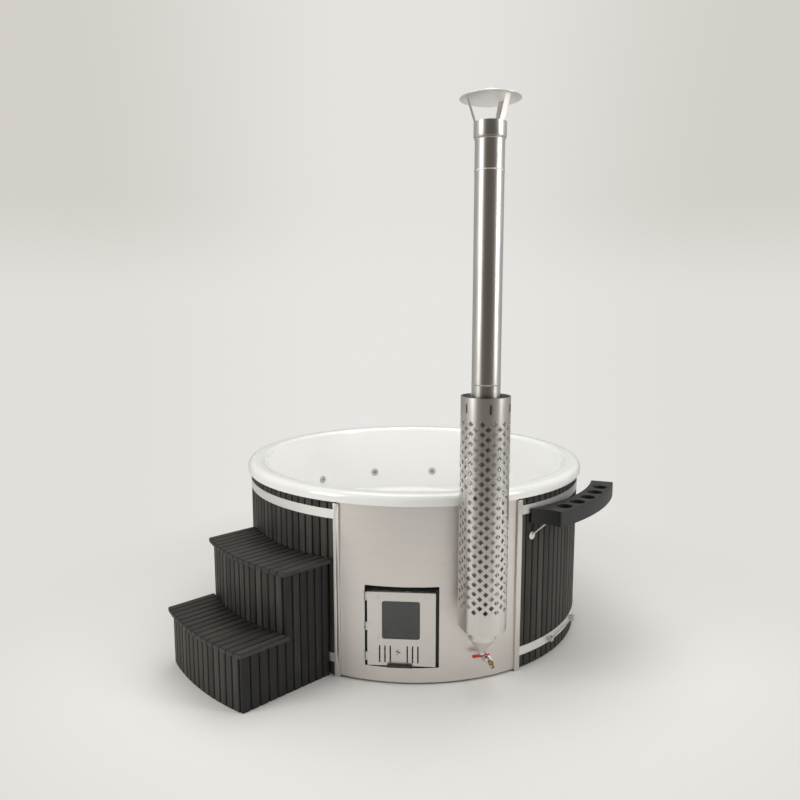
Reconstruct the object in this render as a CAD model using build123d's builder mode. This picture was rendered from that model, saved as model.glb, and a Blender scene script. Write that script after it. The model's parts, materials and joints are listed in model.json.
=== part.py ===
from build123d import *

import os
from math import asin, atan, cos, degrees, hypot, radians, sin, sqrt, tan

os.makedirs("parts", exist_ok=True)

# An outdoor hot tub: a round acrylic tub in slatted cladding, with a built-in wood stove,
# a chimney in a pierced guard, a pair of steps and a cup shelf. Millimetres, +Z up.
# The origin is on the floor under the middle of the tub. A bearing is measured from the
# front, -Y, and grows towards +X, so a thing at a bearing b and radius r stands at
# (r sin b, -r cos b). In a turned plane, local X runs sideways and local -Y outwards.

# Tub wall and rim
wall_radius = 1000.0
wall_top = 935.0
lip_radius = 1016.0
lip_bottom = 932.0
rim_top = 990.0
rim_inner_radius = 914.0
rim_outer_round = 34.0
rim_inner_round = 28.0
shell_wall = 8.0
lip_edge_round = 3.0
seat_height = 520.0
seat_outer_radius = 878.0
well_radius = 490.0
well_floor = 170.0
seat_edge_round = 25.0
seat_wall_round = 45.0
well_round = 40.0

# Frame under the tub
joist_height = 45.0
joist_width = 70.0
joist_count = 5
joist_pitch = 360.0
joist_reach = 930.0
board_radius = 974.0
board_thickness = 18.0
post_side = 45.0
post_radius = 700.0
post_count = 6
post_turn = -60.0
block_side = 60.0
block_radius = 330.0
block_count = 4
block_turn = -45.0
hoop_depth = 30.0
hoop_height = 40.0
upper_hoop_bottom = 850.0
batten_width = 34.0
support_ring_inner = 950.0
support_ring_outer = 978.0
support_ring_step = 18.0

# Cladding slats and bands
slat_face = 998.0
slat_thickness = 18.0
slat_gap = 3.0
slat_count = 110
slat_bottom = 5.0
band_thickness = 1.6
band_height = 48.0
top_band_middle = 865.0
bottom_band_middle = 98.0
band_clear = 0.15

# Band tighteners
top_clamp_bearing = 100.0
bottom_clamp_bearing = 52.0
clamp_half_bearing = 9.0
lug_length = 26.0
lug_width = 24.0
lug_height = 27.0
tie_radius = 4.0
tie_stand = 19.0
tie_nut_radius = 8.0
tie_nut_length = 8.0
tie_nut_gap = 2.5
tie_proud = 6.0

# Front panel and its trims
panel_thickness = 2.0
panel_bottom = 12.0
panel_edge_bearing = 27.4
cutout_corner = 3.0
branch_hole_clear = 1.0
trim_bearing = 27.7
trim_width = 32.0
trim_depth = 10.0
trim_sheet = 2.0
trim_top = 924.0
slat_start_bearing = 28.1
screw_head_radius = 5.0
screw_head_height = 2.5
screw_radius = 2.0
trim_screw_heights = (120.0, 500.0, 880.0)

# Stove
stove_bearing = -8.2
jacket_half_width = 190.0
jacket_bottom = 90.0
jacket_top = 490.0
jacket_back = 560.0
jacket_front = 950.0
jacket_sheet = 3.0
water_space = 22.0
fire_sheet = 5.0
duct_left = 150.0
duct_right = 415.0
duct_back = 740.0
duct_front = 860.0
duct_bottom = 329.0
duct_top = 465.0
rail_width = 40.0
ledge = 12.0
ledge_thickness = 6.0
ledge_top = 158.0
grate_thickness = 12.0
grate_clear = 2.0
grate_length = 330.0
grate_slots = 11
grate_slot = 10.0
grate_pitch = 24.0
grate_slot_length = 290.0
pan_clear = 4.0
pan_length = 340.0
pan_height = 28.0
pan_sheet = 2.0
pan_tab_width = 60.0
pan_tab_length = 12.0
pipe_heights = (224.0, 448.0)
water_pipe_radius = 21.0
water_pipe_wall = 3.0
water_flange_radius = 32.0
water_flange_thickness = 3.0

# Stove door, its glass and its hinge
door_left = -177.0
door_right = 169.0
door_bottom = 95.0
door_top = 485.0
door_face = 990.0
door_depth = 22.0
door_sheet = 3.0
door_fold = 2.0
cutout_left = 190.0
cutout_right = 186.0
cutout_bottom = 90.0
cutout_top = 517.0
window_left = -102.0
window_right = 90.0
window_bottom = 238.0
window_top = 438.0
window_round = 12.0
glass_lap = 9.0
glass_thickness = 4.0
clamp_half_width = 135.0
clamp_bottom = 228.0
clamp_top = 472.0
clamp_lap = 3.0
clamp_sheet = 2.0
door_screw_x = 123.0
door_screw_low = 240.0
door_screw_high = 458.0
door_screw_radius = 2.5
door_screw_length = 11.0
door_edge_round = 1.5
vent_middle = -17.0
vent_offsets = (43.0, 70.0, 97.0)
vent_width = 7.0
vent_bottom = 112.0
vent_top = 203.0
slider_sheet = 2.0
slider_margin = 8.0
slider_left = -130.0
slider_right = 92.0
slider_travel = 13.0
guide_lip = 4.0
guide_height = 5.0
knob_middle = -24.0
knob_height = 166.0
knob_radius = 9.5
knob_length = 12.0
knob_stem_radius = 3.0
back_sheet = 2.0
back_face = 971.0
air_opening = 208.0
seal_width = 12.0
seal_left = -174.0
seal_right = 166.0
seal_bottom = 106.0
seal_top = 474.0
pull_middle = -12.0
pull_bottom = 91.0
pull_width = 127.0
pull_height = 14.0
pull_depth = 16.0
hinge_offset = 5.0
knuckle_radius = 4.7
knuckle_length = 14.0
pin_radius = 2.5
pin_proud = 1.0
pin_clear = 0.06
hinge_heights = (145.0, 305.0, 462.0)
leaf_width = 24.0
leaf_thickness = 2.0
frame_leaf_angle = -11.65
frame_leaf_width = 22.0

# Chimney
flue_bearing = 13.0
flue_axis_radius = 1100.0
pipe_radius = 68.0
pipe_wall = 2.0
branch_radius = 64.0
branch_height = 398.0
branch_start = 1004.0
spigot_start = 885.0
spigot_end = 1030.0
tee_bottom = 312.0
tee_top = 620.0
lower_seam = 1550.0
upper_seam = 2519.0
collar_seam = 2655.0
chimney_top = 2718.0
socket_length = 40.0
bead_height = 6.0
bead_proud = 2.5
bead_drop = 11.0
cap_collar_radius = 74.5
collar_skirt = 8.0
sleeve_top = 332.0
cone_top = 285.0
cone_bottom = 208.0
cone_tip_radius = 14.0
nipple_length = 13.0
cap_radius = 138.5
cap_rim_height = 2822.0
cap_apex = 2867.0
cap_sheet = 2.0
strap_width = 30.0
strap_sheet = 2.0
strap_foot = 28.0
strap_reach = 106.0
strap_gap = 0.1
strap_bearings = (-88.0, 36.0, 142.0)

# Chimney guard
guard_radius = 118.0
guard_sheet = 2.0
guard_bend_angle = 66.0
guard_bottom = 340.0
guard_wall_gap = 50.0
guard_tube_bottom = 1000.0
guard_top = 1485.0
hole_columns = 26
hole_turn = -2.75
hole_width = 28.0
hole_height = 28.0
hole_pitch = 46.5
hole_first = 456.5
hole_rows = 20
front_columns = 4
flank_columns = 3
flank_first = 23.0
spacer_count = 6
spacer_turn = -11.9
spacer_height = 60.0
spacer_middle = 1433.0
spacer_sheet = 2.0
spacer_tab = 34.0
spacer_proud = 4.0
slot_width = 12.0
slot_height = 44.0

# Drain and its valve
drain_flange_radius = 45.0
drain_flange_height = 4.0
drain_body_radius = 27.0
drain_wall = 3.0
drain_body_bottom = 95.0
drain_pipe_start = 24.5
grille_radius = 36.0
grille_sheet = 2.5
grille_slot = 6.0
grille_slots = 5
drain_height = 125.0
drain_pipe_radius = 17.0
drain_pipe_bore = 14.0
valve_bearing = 16.3
valve_back = 1004.0
valve_end_radius = 18.0
valve_end_length = 14.0
valve_barrel_radius = 22.0
valve_barrel_length = 38.0
ball_radius = 14.0
ball_clear = 0.4
ball_bore = 8.0
stem_radius = 4.0
stem_sink = 1.0
boss_radius = 8.0
boss_top = 149.0
stem_top = 160.0
stem_clear = 0.06
lever_bottom = 151.0
lever_sheet = 3.0
lever_width = 13.0
lever_length = 82.0
lever_tail = 10.0
lever_grip = 56.0
grip_width = 18.0
grip_height = 9.0
outlet_nut_radius = 15.0
outlet_nut_length = 10.0
outlet_radius = 9.5
outlet_bore = 7.0
outlet_nut_bore = 8.5
outlet_bore_lead = 3.0
outlet_length = 27.0
outlet_neck_radius = 8.7
outlet_neck_length = 13.0
outlet_tilt = 35.0

# Air nozzles and their pipe
nozzle_count = 12
nozzle_step = 28.25
nozzle_height = 662.0
nozzle_flange_radius = 25.0
nozzle_flange_height = 6.0
nozzle_bore = 6.0
nozzle_tail_radius = 12.0
nozzle_tail_bore = 9.4
nozzle_tail_length = 42.0
nozzle_stand = 0.4
stub_radius = 9.0
stub_start = 36.0
air_pipe_wall = 2.0
ring_pipe_radius = 11.0
ring_distance = 58.0
blower_radius = 85.0
blower_height = 190.0
blower_centre = 740.0
blower_port_height = 140.0
blower_port_radius = 8.0
down_pipe_bottom = 125.0

# Steps
step_bearing = -50.2
tread_half_width = 364.0
tread_overhang = 21.0
tread_thickness = 25.0
lower_tread_top = 310.0
upper_tread_top = 635.0
lower_tread_radius = 1528.0
upper_tread_radius = 1284.0
tread_boards = 15
riser_boards = 14
front_side_boards = 5
rear_side_boards = 6
step_board = 18.0
step_gap = 3.0
step_wall_gap = 3.0
timber = 40.0

# Cup shelf
shelf_top = 870.0
shelf_thickness = 82.0
shelf_inner = ((1001.0, 30.4), (1045.0, 55.1), (1083.0, 73.9))
shelf_outer = ((1152.0, 35.5), (1170.0, 55.0), (1208.0, 73.0))
shelf_flare = (1045.0, 34.0)
shelf_edge_round = 5.0
shelf_corner_round = 6.0
pocket_radius = 40.0
pocket_depth = 62.0
pocket_count = 5
pocket_first = (1093.0, 41.2)
pocket_last = (1134.0, 66.2)
pocket_drain = 5.0
strut_foot_radius = 21.0
strut_foot_thickness = 8.0
strut_foot_height = 720.0
strut_rod_radius = 4.0
strut_foot_bearings = (32.9, 67.0)
strut_heads = ((1062.0, 34.9), (1118.0, 68.5))
fit_gap = 0.3


# Places worked out from the sizes above
wall_tilt = degrees(atan((rim_inner_radius - seat_outer_radius) / (rim_top - seat_height)))
board_bottom = joist_height
board_top = joist_height + board_thickness
slat_back = slat_face - slat_thickness
slat_span = 360.0 - 2 * slat_start_bearing
slat_step = slat_span / slat_count
slat_width = 2 * slat_face * tan(radians(slat_step / 2)) - slat_gap
slat_corner = hypot(slat_face, slat_width / 2)
band_inner = slat_corner + band_clear
band_outer = band_inner + band_thickness
panel_inner = wall_radius - panel_thickness
band_end_bearing = trim_bearing + degrees((trim_width / 2 + fit_gap) / wall_radius)


def spot(radius, bearing, height=0.0):
    return (radius * sin(radians(bearing)), -radius * cos(radians(bearing)), height)


def turned(bearing, height=0.0, radius=0.0):
    side = (cos(radians(bearing)), sin(radians(bearing)), 0)
    return Plane(origin=spot(radius, bearing, height), x_dir=side, z_dir=(0, 0, 1))


def facing(bearing, radius, height):
    # A plane that looks outwards: local X sideways, local Y up, local Z outwards.
    side = (cos(radians(bearing)), sin(radians(bearing)), 0)
    out = (sin(radians(bearing)), -cos(radians(bearing)), 0)
    return Plane(origin=spot(radius, bearing, height), x_dir=side, z_dir=out)


def wedge(half_bearing, reach):
    return [(0, 0), spot(reach, -half_bearing)[:2], spot(reach, half_bearing)[:2]]


def save(part, name):
    part.label = name
    export_step(part, f"parts/{name}.step")


# Acrylic shell
def wall_inner(height):
    share = (height - seat_height) / (rim_top - seat_height)
    return seat_outer_radius + share * (rim_inner_radius - seat_outer_radius)


slant = shell_wall / cos(radians(wall_tilt))
shell_top_line = [
    (0, well_floor),
    (well_radius, well_floor),
    (well_radius, seat_height),
    (seat_outer_radius, seat_height),
    (rim_inner_radius, rim_top),
    (lip_radius, rim_top),
    (lip_radius, lip_bottom),
]
shell_under_line = [
    (lip_radius - shell_wall, lip_bottom),
    (lip_radius - shell_wall, rim_top - shell_wall),
    (rim_inner_radius + slant, rim_top - shell_wall),
    (seat_outer_radius + slant, seat_height - shell_wall),
    (well_radius + shell_wall, seat_height - shell_wall),
    (well_radius + shell_wall, well_floor - shell_wall),
    (0, well_floor - shell_wall),
]
shell_top_rounds = [
    well_round,
    seat_edge_round,
    seat_wall_round,
    rim_inner_round,
    rim_outer_round,
    lip_edge_round,
]
shell_under_rounds = [
    rim_outer_round - shell_wall,
    rim_inner_round - shell_wall,
    seat_wall_round + shell_wall,
    seat_edge_round - shell_wall,
    well_round + shell_wall,
]
nozzle_bearings = [180 + (k - (nozzle_count - 1) / 2) * nozzle_step for k in range(nozzle_count)]


def nozzle_plane(bearing):
    tilt = radians(wall_tilt)
    out = spot(1, bearing)
    inward = (-out[0] * cos(tilt), -out[1] * cos(tilt), sin(tilt))
    side = (cos(radians(bearing)), sin(radians(bearing)), 0)
    return Plane(origin=spot(wall_inner(nozzle_height), bearing, nozzle_height), x_dir=side, z_dir=inward)


nozzle_planes = [nozzle_plane(bearing) for bearing in nozzle_bearings]

with BuildPart() as acrylic_shell:
    with BuildSketch(Plane.XZ):
        with BuildLine():
            FilletPolyline(*shell_top_line, shell_under_line[0], radius=shell_top_rounds)
            FilletPolyline(*shell_under_line, radius=shell_under_rounds)
            Line(shell_under_line[-1], shell_top_line[0])
        make_face()
    revolve(axis=Axis.Z)
    with BuildSketch(*nozzle_planes):
        Circle(nozzle_tail_radius + fit_gap)
    extrude(amount=3 * shell_wall, both=True, mode=Mode.SUBTRACT)
    with BuildSketch(*[facing(stove_bearing, well_radius, height) for height in pipe_heights]):
        Circle(water_pipe_radius + fit_gap)
    extrude(amount=2 * shell_wall, both=True, mode=Mode.SUBTRACT)
    with BuildSketch(Plane.XY.offset(well_floor)):
        Circle(drain_body_radius + fit_gap)
    extrude(amount=2 * shell_wall, both=True, mode=Mode.SUBTRACT)
save(acrylic_shell.part, "acrylic_shell")


# Ring under the rim
with BuildPart() as rim_support_ring:
    with BuildSketch(Plane.XY.offset(wall_top)):
        Circle(wall_radius)
        Circle(support_ring_inner, mode=Mode.SUBTRACT)
    extrude(amount=support_ring_step)
    with BuildSketch(Plane.XY.offset(wall_top + support_ring_step)):
        Circle(support_ring_outer)
        Circle(support_ring_inner, mode=Mode.SUBTRACT)
    extrude(amount=rim_top - shell_wall - wall_top - support_ring_step)
save(rim_support_ring.part, "rim_support_ring")


# Base joists and board
with BuildPart() as base_joists:
    with BuildSketch():
        with GridLocations(0, joist_pitch, 1, joist_count):
            Rectangle(2 * wall_radius, joist_width)
        Circle(joist_reach, mode=Mode.INTERSECT)
    extrude(amount=joist_height)
save(base_joists.part, "base_joists")

with BuildPart() as base_board:
    with BuildSketch(Plane.XY.offset(board_bottom)):
        Circle(board_radius)
    extrude(amount=board_thickness)
save(base_board.part, "base_board")


# Posts under the seat and blocks under the foot well
with BuildPart(Plane.XY.offset(board_top)) as support_posts:
    with PolarLocations(post_radius, post_count, start_angle=post_turn):
        Box(
            post_side,
            post_side,
            seat_height - shell_wall - board_top,
            align=(Align.CENTER, Align.CENTER, Align.MIN),
        )
    with PolarLocations(block_radius, block_count, start_angle=block_turn):
        Box(
            block_side,
            block_side,
            well_floor - shell_wall - board_top,
            align=(Align.CENTER, Align.CENTER, Align.MIN),
        )
save(support_posts.part, "support_posts")


# Hoops and battens that carry the cladding and the panel
batten_bearing = panel_edge_bearing - degrees(batten_width / 2 / slat_back)
with BuildPart() as cladding_frame:
    with BuildSketch(Plane.XY.offset(upper_hoop_bottom)):
        Circle(slat_back)
        Circle(slat_back - hoop_depth, mode=Mode.SUBTRACT)
    extrude(amount=hoop_height)
    with BuildSketch(Plane.XY.offset(board_top)):
        Circle(slat_back)
        Circle(slat_back - hoop_depth, mode=Mode.SUBTRACT)
        Polygon(*wedge(batten_bearing - 1, 1.2 * wall_radius), align=None, mode=Mode.SUBTRACT)
    extrude(amount=hoop_height)
    with BuildSketch(Plane.XY.offset(board_top)):
        Circle(panel_inner)
        Circle(slat_back - hoop_depth / 2, mode=Mode.SUBTRACT)
        Polygon(*wedge(panel_edge_bearing, 1.2 * wall_radius), align=None, mode=Mode.INTERSECT)
        Polygon(
            *wedge(panel_edge_bearing - degrees(batten_width / slat_back), 1.2 * wall_radius),
            align=None,
            mode=Mode.SUBTRACT,
        )
    extrude(amount=wall_top - board_top)
save(cladding_frame.part, "cladding_frame")


# Cladding slats
slat_angles = [slat_start_bearing + (k + 0.5) * slat_step for k in range(slat_count)]
with BuildPart(Plane.XY.offset(slat_bottom)) as cladding_slats:
    with PolarLocations(
        slat_face,
        slat_count,
        start_angle=slat_angles[0] - 90.0,
        angular_range=slat_span - slat_step,
        endpoint=True,
    ):
        Box(
            slat_thickness,
            slat_width,
            wall_top - slat_bottom,
            align=(Align.MAX, Align.CENTER, Align.MIN),
        )
save(cladding_slats.part, "cladding_slats")


# Steel bands round the cladding
def make_band(middle, name):
    with BuildPart() as band:
        with BuildSketch(Plane.XY.offset(middle - band_height / 2)):
            Circle(band_outer)
            Circle(band_inner, mode=Mode.SUBTRACT)
            Polygon(*wedge(band_end_bearing, 1.2 * wall_radius), align=None, mode=Mode.SUBTRACT)
        extrude(amount=band_height)
    save(band.part, name)


make_band(top_band_middle, "top_band")
make_band(bottom_band_middle, "bottom_band")


# Band tighteners: a lug at each end and a straight tie between them
clamps = ((top_clamp_bearing, top_band_middle), (bottom_clamp_bearing, bottom_band_middle))
tie_radial = (band_outer + tie_stand) * cos(radians(clamp_half_bearing))
tie_half = (band_outer + tie_stand) * sin(radians(clamp_half_bearing)) + lug_length / 2
lug_planes = [
    facing(bearing + side * clamp_half_bearing, band_outer, middle)
    for bearing, middle in clamps
    for side in (-1, 1)
]
tie_planes = [
    Plane(
        origin=spot(tie_radial, bearing, middle),
        x_dir=(0, 0, 1),
        z_dir=(cos(radians(bearing)), sin(radians(bearing)), 0),
    )
    for bearing, middle in clamps
]
lug_seat = band_outer * (1 / cos(lug_length / 2 / band_outer) - 1)
with BuildPart() as band_lugs:
    with BuildSketch(*[plane.offset(lug_seat) for plane in lug_planes]):
        Rectangle(lug_length, lug_width)
    extrude(amount=lug_height)
    with BuildSketch(*tie_planes):
        Circle(tie_radius + fit_gap)
    extrude(amount=tie_half + lug_length, both=True, mode=Mode.SUBTRACT)
save(band_lugs.part, "band_lugs")

tie_end = tie_half + tie_nut_length + tie_proud
with BuildPart() as band_ties:
    with BuildSketch(*tie_planes):
        Circle(tie_radius)
    extrude(amount=tie_end, both=True)
    with BuildSketch(*[plane.offset(tie_half + tie_nut_gap) for plane in tie_planes]):
        RegularPolygon(tie_nut_radius, 6)
    extrude(amount=tie_nut_length)
    with BuildSketch(*[plane.offset(-tie_half - tie_nut_gap) for plane in tie_planes]):
        RegularPolygon(tie_nut_radius, 6)
    extrude(amount=-tie_nut_length)
save(band_ties.part, "band_ties")


# Front panel
stove_front = turned(stove_bearing)
flue_plane = turned(flue_bearing, 0.0, flue_axis_radius)
with BuildPart() as front_panel:
    with BuildSketch(Plane.XY.offset(panel_bottom)):
        Circle(wall_radius)
        Circle(panel_inner, mode=Mode.SUBTRACT)
        Polygon(*wedge(panel_edge_bearing, 1.2 * wall_radius), align=None, mode=Mode.INTERSECT)
    extrude(amount=wall_top - panel_bottom)
    with BuildSketch(facing(stove_bearing, wall_radius, 0.0)):
        with Locations(((cutout_right - cutout_left) / 2, (cutout_bottom + cutout_top) / 2)):
            RectangleRounded(cutout_left + cutout_right, cutout_top - cutout_bottom, cutout_corner)
    extrude(amount=wall_radius / 10, both=True, mode=Mode.SUBTRACT)
    with BuildSketch(facing(flue_bearing, wall_radius, branch_height)):
        Circle(branch_radius + branch_hole_clear)
    extrude(amount=wall_radius / 10, both=True, mode=Mode.SUBTRACT)
    with BuildSketch(facing(valve_bearing, wall_radius, drain_height)):
        Circle(drain_pipe_radius + fit_gap)
    extrude(amount=wall_radius / 10, both=True, mode=Mode.SUBTRACT)
save(front_panel.part, "front_panel")


# Trims that cover the panel's edges
trim_seat = sqrt(wall_radius**2 - (trim_width / 2 - trim_sheet) ** 2)
trim_face = trim_seat + trim_depth


def make_trim(bearing, name):
    with BuildPart() as trim:
        with BuildSketch(turned(bearing)):
            with Locations((0, -trim_seat)):
                Rectangle(trim_width, trim_depth, align=(Align.CENTER, Align.MAX))
                Rectangle(
                    trim_width - 2 * trim_sheet,
                    trim_depth - trim_sheet,
                    align=(Align.CENTER, Align.MAX),
                    mode=Mode.SUBTRACT,
                )
        extrude(amount=trim_top)
        with BuildSketch(*[facing(bearing, trim_face, height) for height in trim_screw_heights]):
            Circle(screw_radius)
        extrude(amount=trim_sheet, both=True, mode=Mode.SUBTRACT)
    save(trim.part, name)


make_trim(-trim_bearing, "left_trim")
make_trim(trim_bearing, "right_trim")

trim_screw_planes = [
    facing(bearing, trim_face, height)
    for bearing in (-trim_bearing, trim_bearing)
    for height in trim_screw_heights
]
with BuildPart() as trim_screws:
    with BuildSketch(*trim_screw_planes):
        Circle(screw_head_radius)
    extrude(amount=screw_head_height)
    with BuildSketch(*trim_screw_planes):
        Circle(screw_radius)
    extrude(amount=-(trim_face - wall_radius - fit_gap))
save(trim_screws.part, "trim_screws")


# Stove: an inner firebox in an outer water jacket
fire_half_width = jacket_half_width - jacket_sheet - water_space
fire_back = jacket_back + jacket_sheet + water_space
fire_bottom = jacket_bottom + jacket_sheet + water_space
fire_top = jacket_top - jacket_sheet - water_space
cavity_half_width = fire_half_width - fire_sheet
flange_face = jacket_front + fire_sheet
spigot_radius = branch_radius - pipe_wall - fit_gap


def stove_block(left, right, back, front, bottom, top, mode=Mode.ADD):
    # A box in front of the stove, placed by its sides, its depths and its heights.
    middle = Pos((left + right) / 2, -(back + front) / 2, (bottom + top) / 2)
    with Locations(stove_front.location * middle):
        Box(right - left, front - back, top - bottom, mode=mode)


with BuildPart() as firebox:
    stove_block(-fire_half_width, fire_half_width, fire_back, jacket_front, fire_bottom, fire_top)
    stove_block(duct_left, duct_right, duct_back, duct_front, duct_bottom, duct_top)
    stove_block(
        -jacket_half_width, jacket_half_width, jacket_front, flange_face, jacket_bottom, jacket_top
    )
    stove_block(
        -cavity_half_width,
        cavity_half_width,
        fire_back + fire_sheet,
        flange_face,
        fire_bottom + fire_sheet,
        fire_top - fire_sheet,
        Mode.SUBTRACT,
    )
    stove_block(
        duct_left,
        duct_right - fire_sheet,
        duct_back + fire_sheet,
        duct_front - fire_sheet,
        duct_bottom + fire_sheet,
        duct_top - fire_sheet,
        Mode.SUBTRACT,
    )
    with BuildSketch(facing(flue_bearing, spigot_start, branch_height)):
        Circle(spigot_radius + fit_gap)
    extrude(amount=wall_radius - spigot_start, mode=Mode.SUBTRACT)
    for side in (-1, 1):
        ledge_middle = side * (cavity_half_width - ledge / 2)
        stove_block(
            ledge_middle - ledge / 2,
            ledge_middle + ledge / 2,
            fire_back,
            jacket_front,
            ledge_top - ledge_thickness,
            ledge_top,
        )
save(firebox.part, "firebox")

with BuildPart() as water_jacket:
    stove_block(
        -jacket_half_width, jacket_half_width, jacket_back, jacket_front, jacket_bottom, jacket_top
    )
    stove_block(
        jacket_sheet - jacket_half_width,
        jacket_half_width - jacket_sheet,
        jacket_back + jacket_sheet,
        jacket_front,
        jacket_bottom + jacket_sheet,
        jacket_top - jacket_sheet,
        Mode.SUBTRACT,
    )
    stove_block(
        duct_left,
        duct_right,
        duct_back - fit_gap,
        duct_front + fit_gap,
        duct_bottom - fit_gap,
        duct_top + fit_gap,
        Mode.SUBTRACT,
    )
    with BuildSketch(*[facing(stove_bearing, jacket_back, height) for height in pipe_heights]):
        Circle(water_pipe_radius + fit_gap)
    extrude(amount=2 * jacket_sheet, both=True, mode=Mode.SUBTRACT)
save(water_jacket.part, "water_jacket")

rail_reach = jacket_half_width - rail_width
with BuildPart() as stove_rails:
    for side in (-1, 1):
        rail_middle = side * (rail_reach - rail_width / 2)
        stove_block(
            rail_middle - rail_width / 2,
            rail_middle + rail_width / 2,
            jacket_back + rail_width / 2,
            jacket_front - rail_width / 4,
            board_top,
            jacket_bottom,
        )
save(stove_rails.part, "stove_rails")


# Grate and ash pan
grate_back = fire_back + fire_sheet + 2 * pan_clear
with BuildPart() as grate:
    grate_half = cavity_half_width - grate_clear
    with BuildSketch(turned(stove_bearing, ledge_top)):
        with Locations((0, -(grate_back + grate_length / 2))):
            Rectangle(2 * grate_half, grate_length)
            with GridLocations(grate_pitch, 0, grate_slots, 1):
                SlotOverall(grate_slot_length, grate_slot, rotation=90, mode=Mode.SUBTRACT)
    extrude(amount=grate_thickness)
save(grate.part, "grate")

pan_half = cavity_half_width - pan_clear
pan_back = fire_back + fire_sheet + 2 * pan_clear
pan_front = pan_back + pan_length
pan_bottom = fire_bottom + fire_sheet
with BuildPart() as ash_pan:
    stove_block(-pan_half, pan_half, pan_back, pan_front, pan_bottom, pan_bottom + pan_height)
    stove_block(
        pan_sheet - pan_half,
        pan_half - pan_sheet,
        pan_back + pan_sheet,
        pan_front - pan_sheet,
        pan_bottom + pan_sheet,
        pan_bottom + pan_height,
        Mode.SUBTRACT,
    )
    stove_block(
        -pan_tab_width / 2,
        pan_tab_width / 2,
        pan_front,
        pan_front + pan_tab_length,
        pan_bottom + pan_height - 2 * pan_sheet,
        pan_bottom + pan_height - pan_sheet,
    )
save(ash_pan.part, "ash_pan")


# Pipes that carry the bath water through the jacket
water_pipe_length = jacket_back + jacket_sheet - well_radius
water_flange_start = well_radius + shell_wall + fit_gap
water_pipe_planes = [facing(stove_bearing, well_radius, height) for height in pipe_heights]
with BuildPart() as water_pipes:
    with BuildSketch(*[facing(stove_bearing, water_flange_start, height) for height in pipe_heights]):
        Circle(water_flange_radius)
    extrude(amount=water_flange_thickness)
    with BuildSketch(*water_pipe_planes):
        Circle(water_pipe_radius)
    extrude(amount=water_pipe_length)
    with BuildSketch(*water_pipe_planes):
        Circle(water_pipe_radius - water_pipe_wall)
    extrude(amount=water_pipe_length, mode=Mode.SUBTRACT)
save(water_pipes.part, "water_pipes")


# Flue spigot, tee and soot cone
with BuildPart() as flue_spigot:
    with BuildSketch(facing(flue_bearing, spigot_start, branch_height)):
        Circle(spigot_radius)
        Circle(spigot_radius - pipe_wall, mode=Mode.SUBTRACT)
    extrude(amount=spigot_end - spigot_start)
    stove_block(
        duct_left,
        duct_right,
        duct_back,
        duct_front - fire_sheet,
        duct_bottom,
        duct_top,
        Mode.SUBTRACT,
    )
save(flue_spigot.part, "flue_spigot")

with BuildPart() as flue_tee:
    with BuildSketch(flue_plane.offset(tee_bottom)):
        Circle(pipe_radius)
    extrude(amount=tee_top - tee_bottom)
    with BuildSketch(facing(flue_bearing, branch_start, branch_height)):
        Circle(branch_radius)
    extrude(amount=flue_axis_radius - branch_start)
    with BuildSketch(flue_plane.offset(tee_bottom)):
        Circle(pipe_radius - pipe_wall)
    extrude(amount=tee_top - tee_bottom, mode=Mode.SUBTRACT)
    with BuildSketch(facing(flue_bearing, branch_start, branch_height)):
        Circle(branch_radius - pipe_wall)
    extrude(amount=flue_axis_radius - branch_start, mode=Mode.SUBTRACT)
save(flue_tee.part, "flue_tee")

flue_section = Plane(origin=flue_plane.origin, x_dir=flue_plane.x_dir, z_dir=-flue_plane.y_dir)
flue_axis = Axis(flue_plane.origin, (0, 0, 1))


def revolve_at_flue(outline):
    # Turns an outline of radius and height about the chimney's axis.
    with BuildSketch(flue_section) as section:
        Polygon(*outline, align=None)
    revolve(section.sketch, axis=flue_axis)


sleeve_bore = pipe_radius + fit_gap
nipple_bottom = cone_bottom - nipple_length
with BuildPart() as soot_cone:
    revolve_at_flue([
        (0, nipple_bottom),
        (cone_tip_radius, nipple_bottom),
        (cone_tip_radius, cone_bottom),
        (sleeve_bore + pipe_wall, cone_top),
        (sleeve_bore + pipe_wall, sleeve_top),
        (sleeve_bore, sleeve_top),
        (sleeve_bore, cone_top + pipe_wall / 2),
        (cone_tip_radius - pipe_wall / 2, cone_bottom + 2 * pipe_wall),
        (0, cone_bottom + 2 * pipe_wall),
    ])
save(soot_cone.part, "soot_cone")


# Chimney sections: each has a spigot below its seam and a bead near its top
socket_radius = pipe_radius - pipe_wall - fit_gap


def make_section(bottom, top, name):
    bead_middle = top - bead_drop
    with BuildPart() as section:
        revolve_at_flue([
            (socket_radius - pipe_wall, bottom - socket_length),
            (socket_radius, bottom - socket_length),
            (socket_radius, bottom),
            (pipe_radius, bottom),
            (pipe_radius, bead_middle - bead_height / 2),
            (pipe_radius + bead_proud, bead_middle),
            (pipe_radius, bead_middle + bead_height / 2),
            (pipe_radius, top),
            (pipe_radius - pipe_wall, top),
            (pipe_radius - pipe_wall, bottom + pipe_wall),
            (socket_radius - pipe_wall, bottom + pipe_wall),
        ])
    save(section.part, name)


make_section(tee_top, lower_seam, "chimney_lower")
make_section(lower_seam, upper_seam, "chimney_middle")
make_section(upper_seam, collar_seam, "chimney_upper")


# Collar, straps and rain cap on top
with BuildPart() as cap_collar:
    revolve_at_flue([
        (socket_radius - pipe_wall, collar_seam - socket_length),
        (socket_radius, collar_seam - socket_length),
        (socket_radius, collar_seam),
        (sleeve_bore, collar_seam),
        (sleeve_bore, collar_seam - collar_skirt),
        (sleeve_bore + pipe_wall, collar_seam - collar_skirt),
        (cap_collar_radius, collar_seam),
        (cap_collar_radius, chimney_top),
        (cap_collar_radius - pipe_wall, chimney_top),
        (cap_collar_radius - pipe_wall, collar_seam + pipe_wall),
        (socket_radius - pipe_wall, collar_seam + pipe_wall),
    ])
save(cap_collar.part, "cap_collar")

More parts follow.
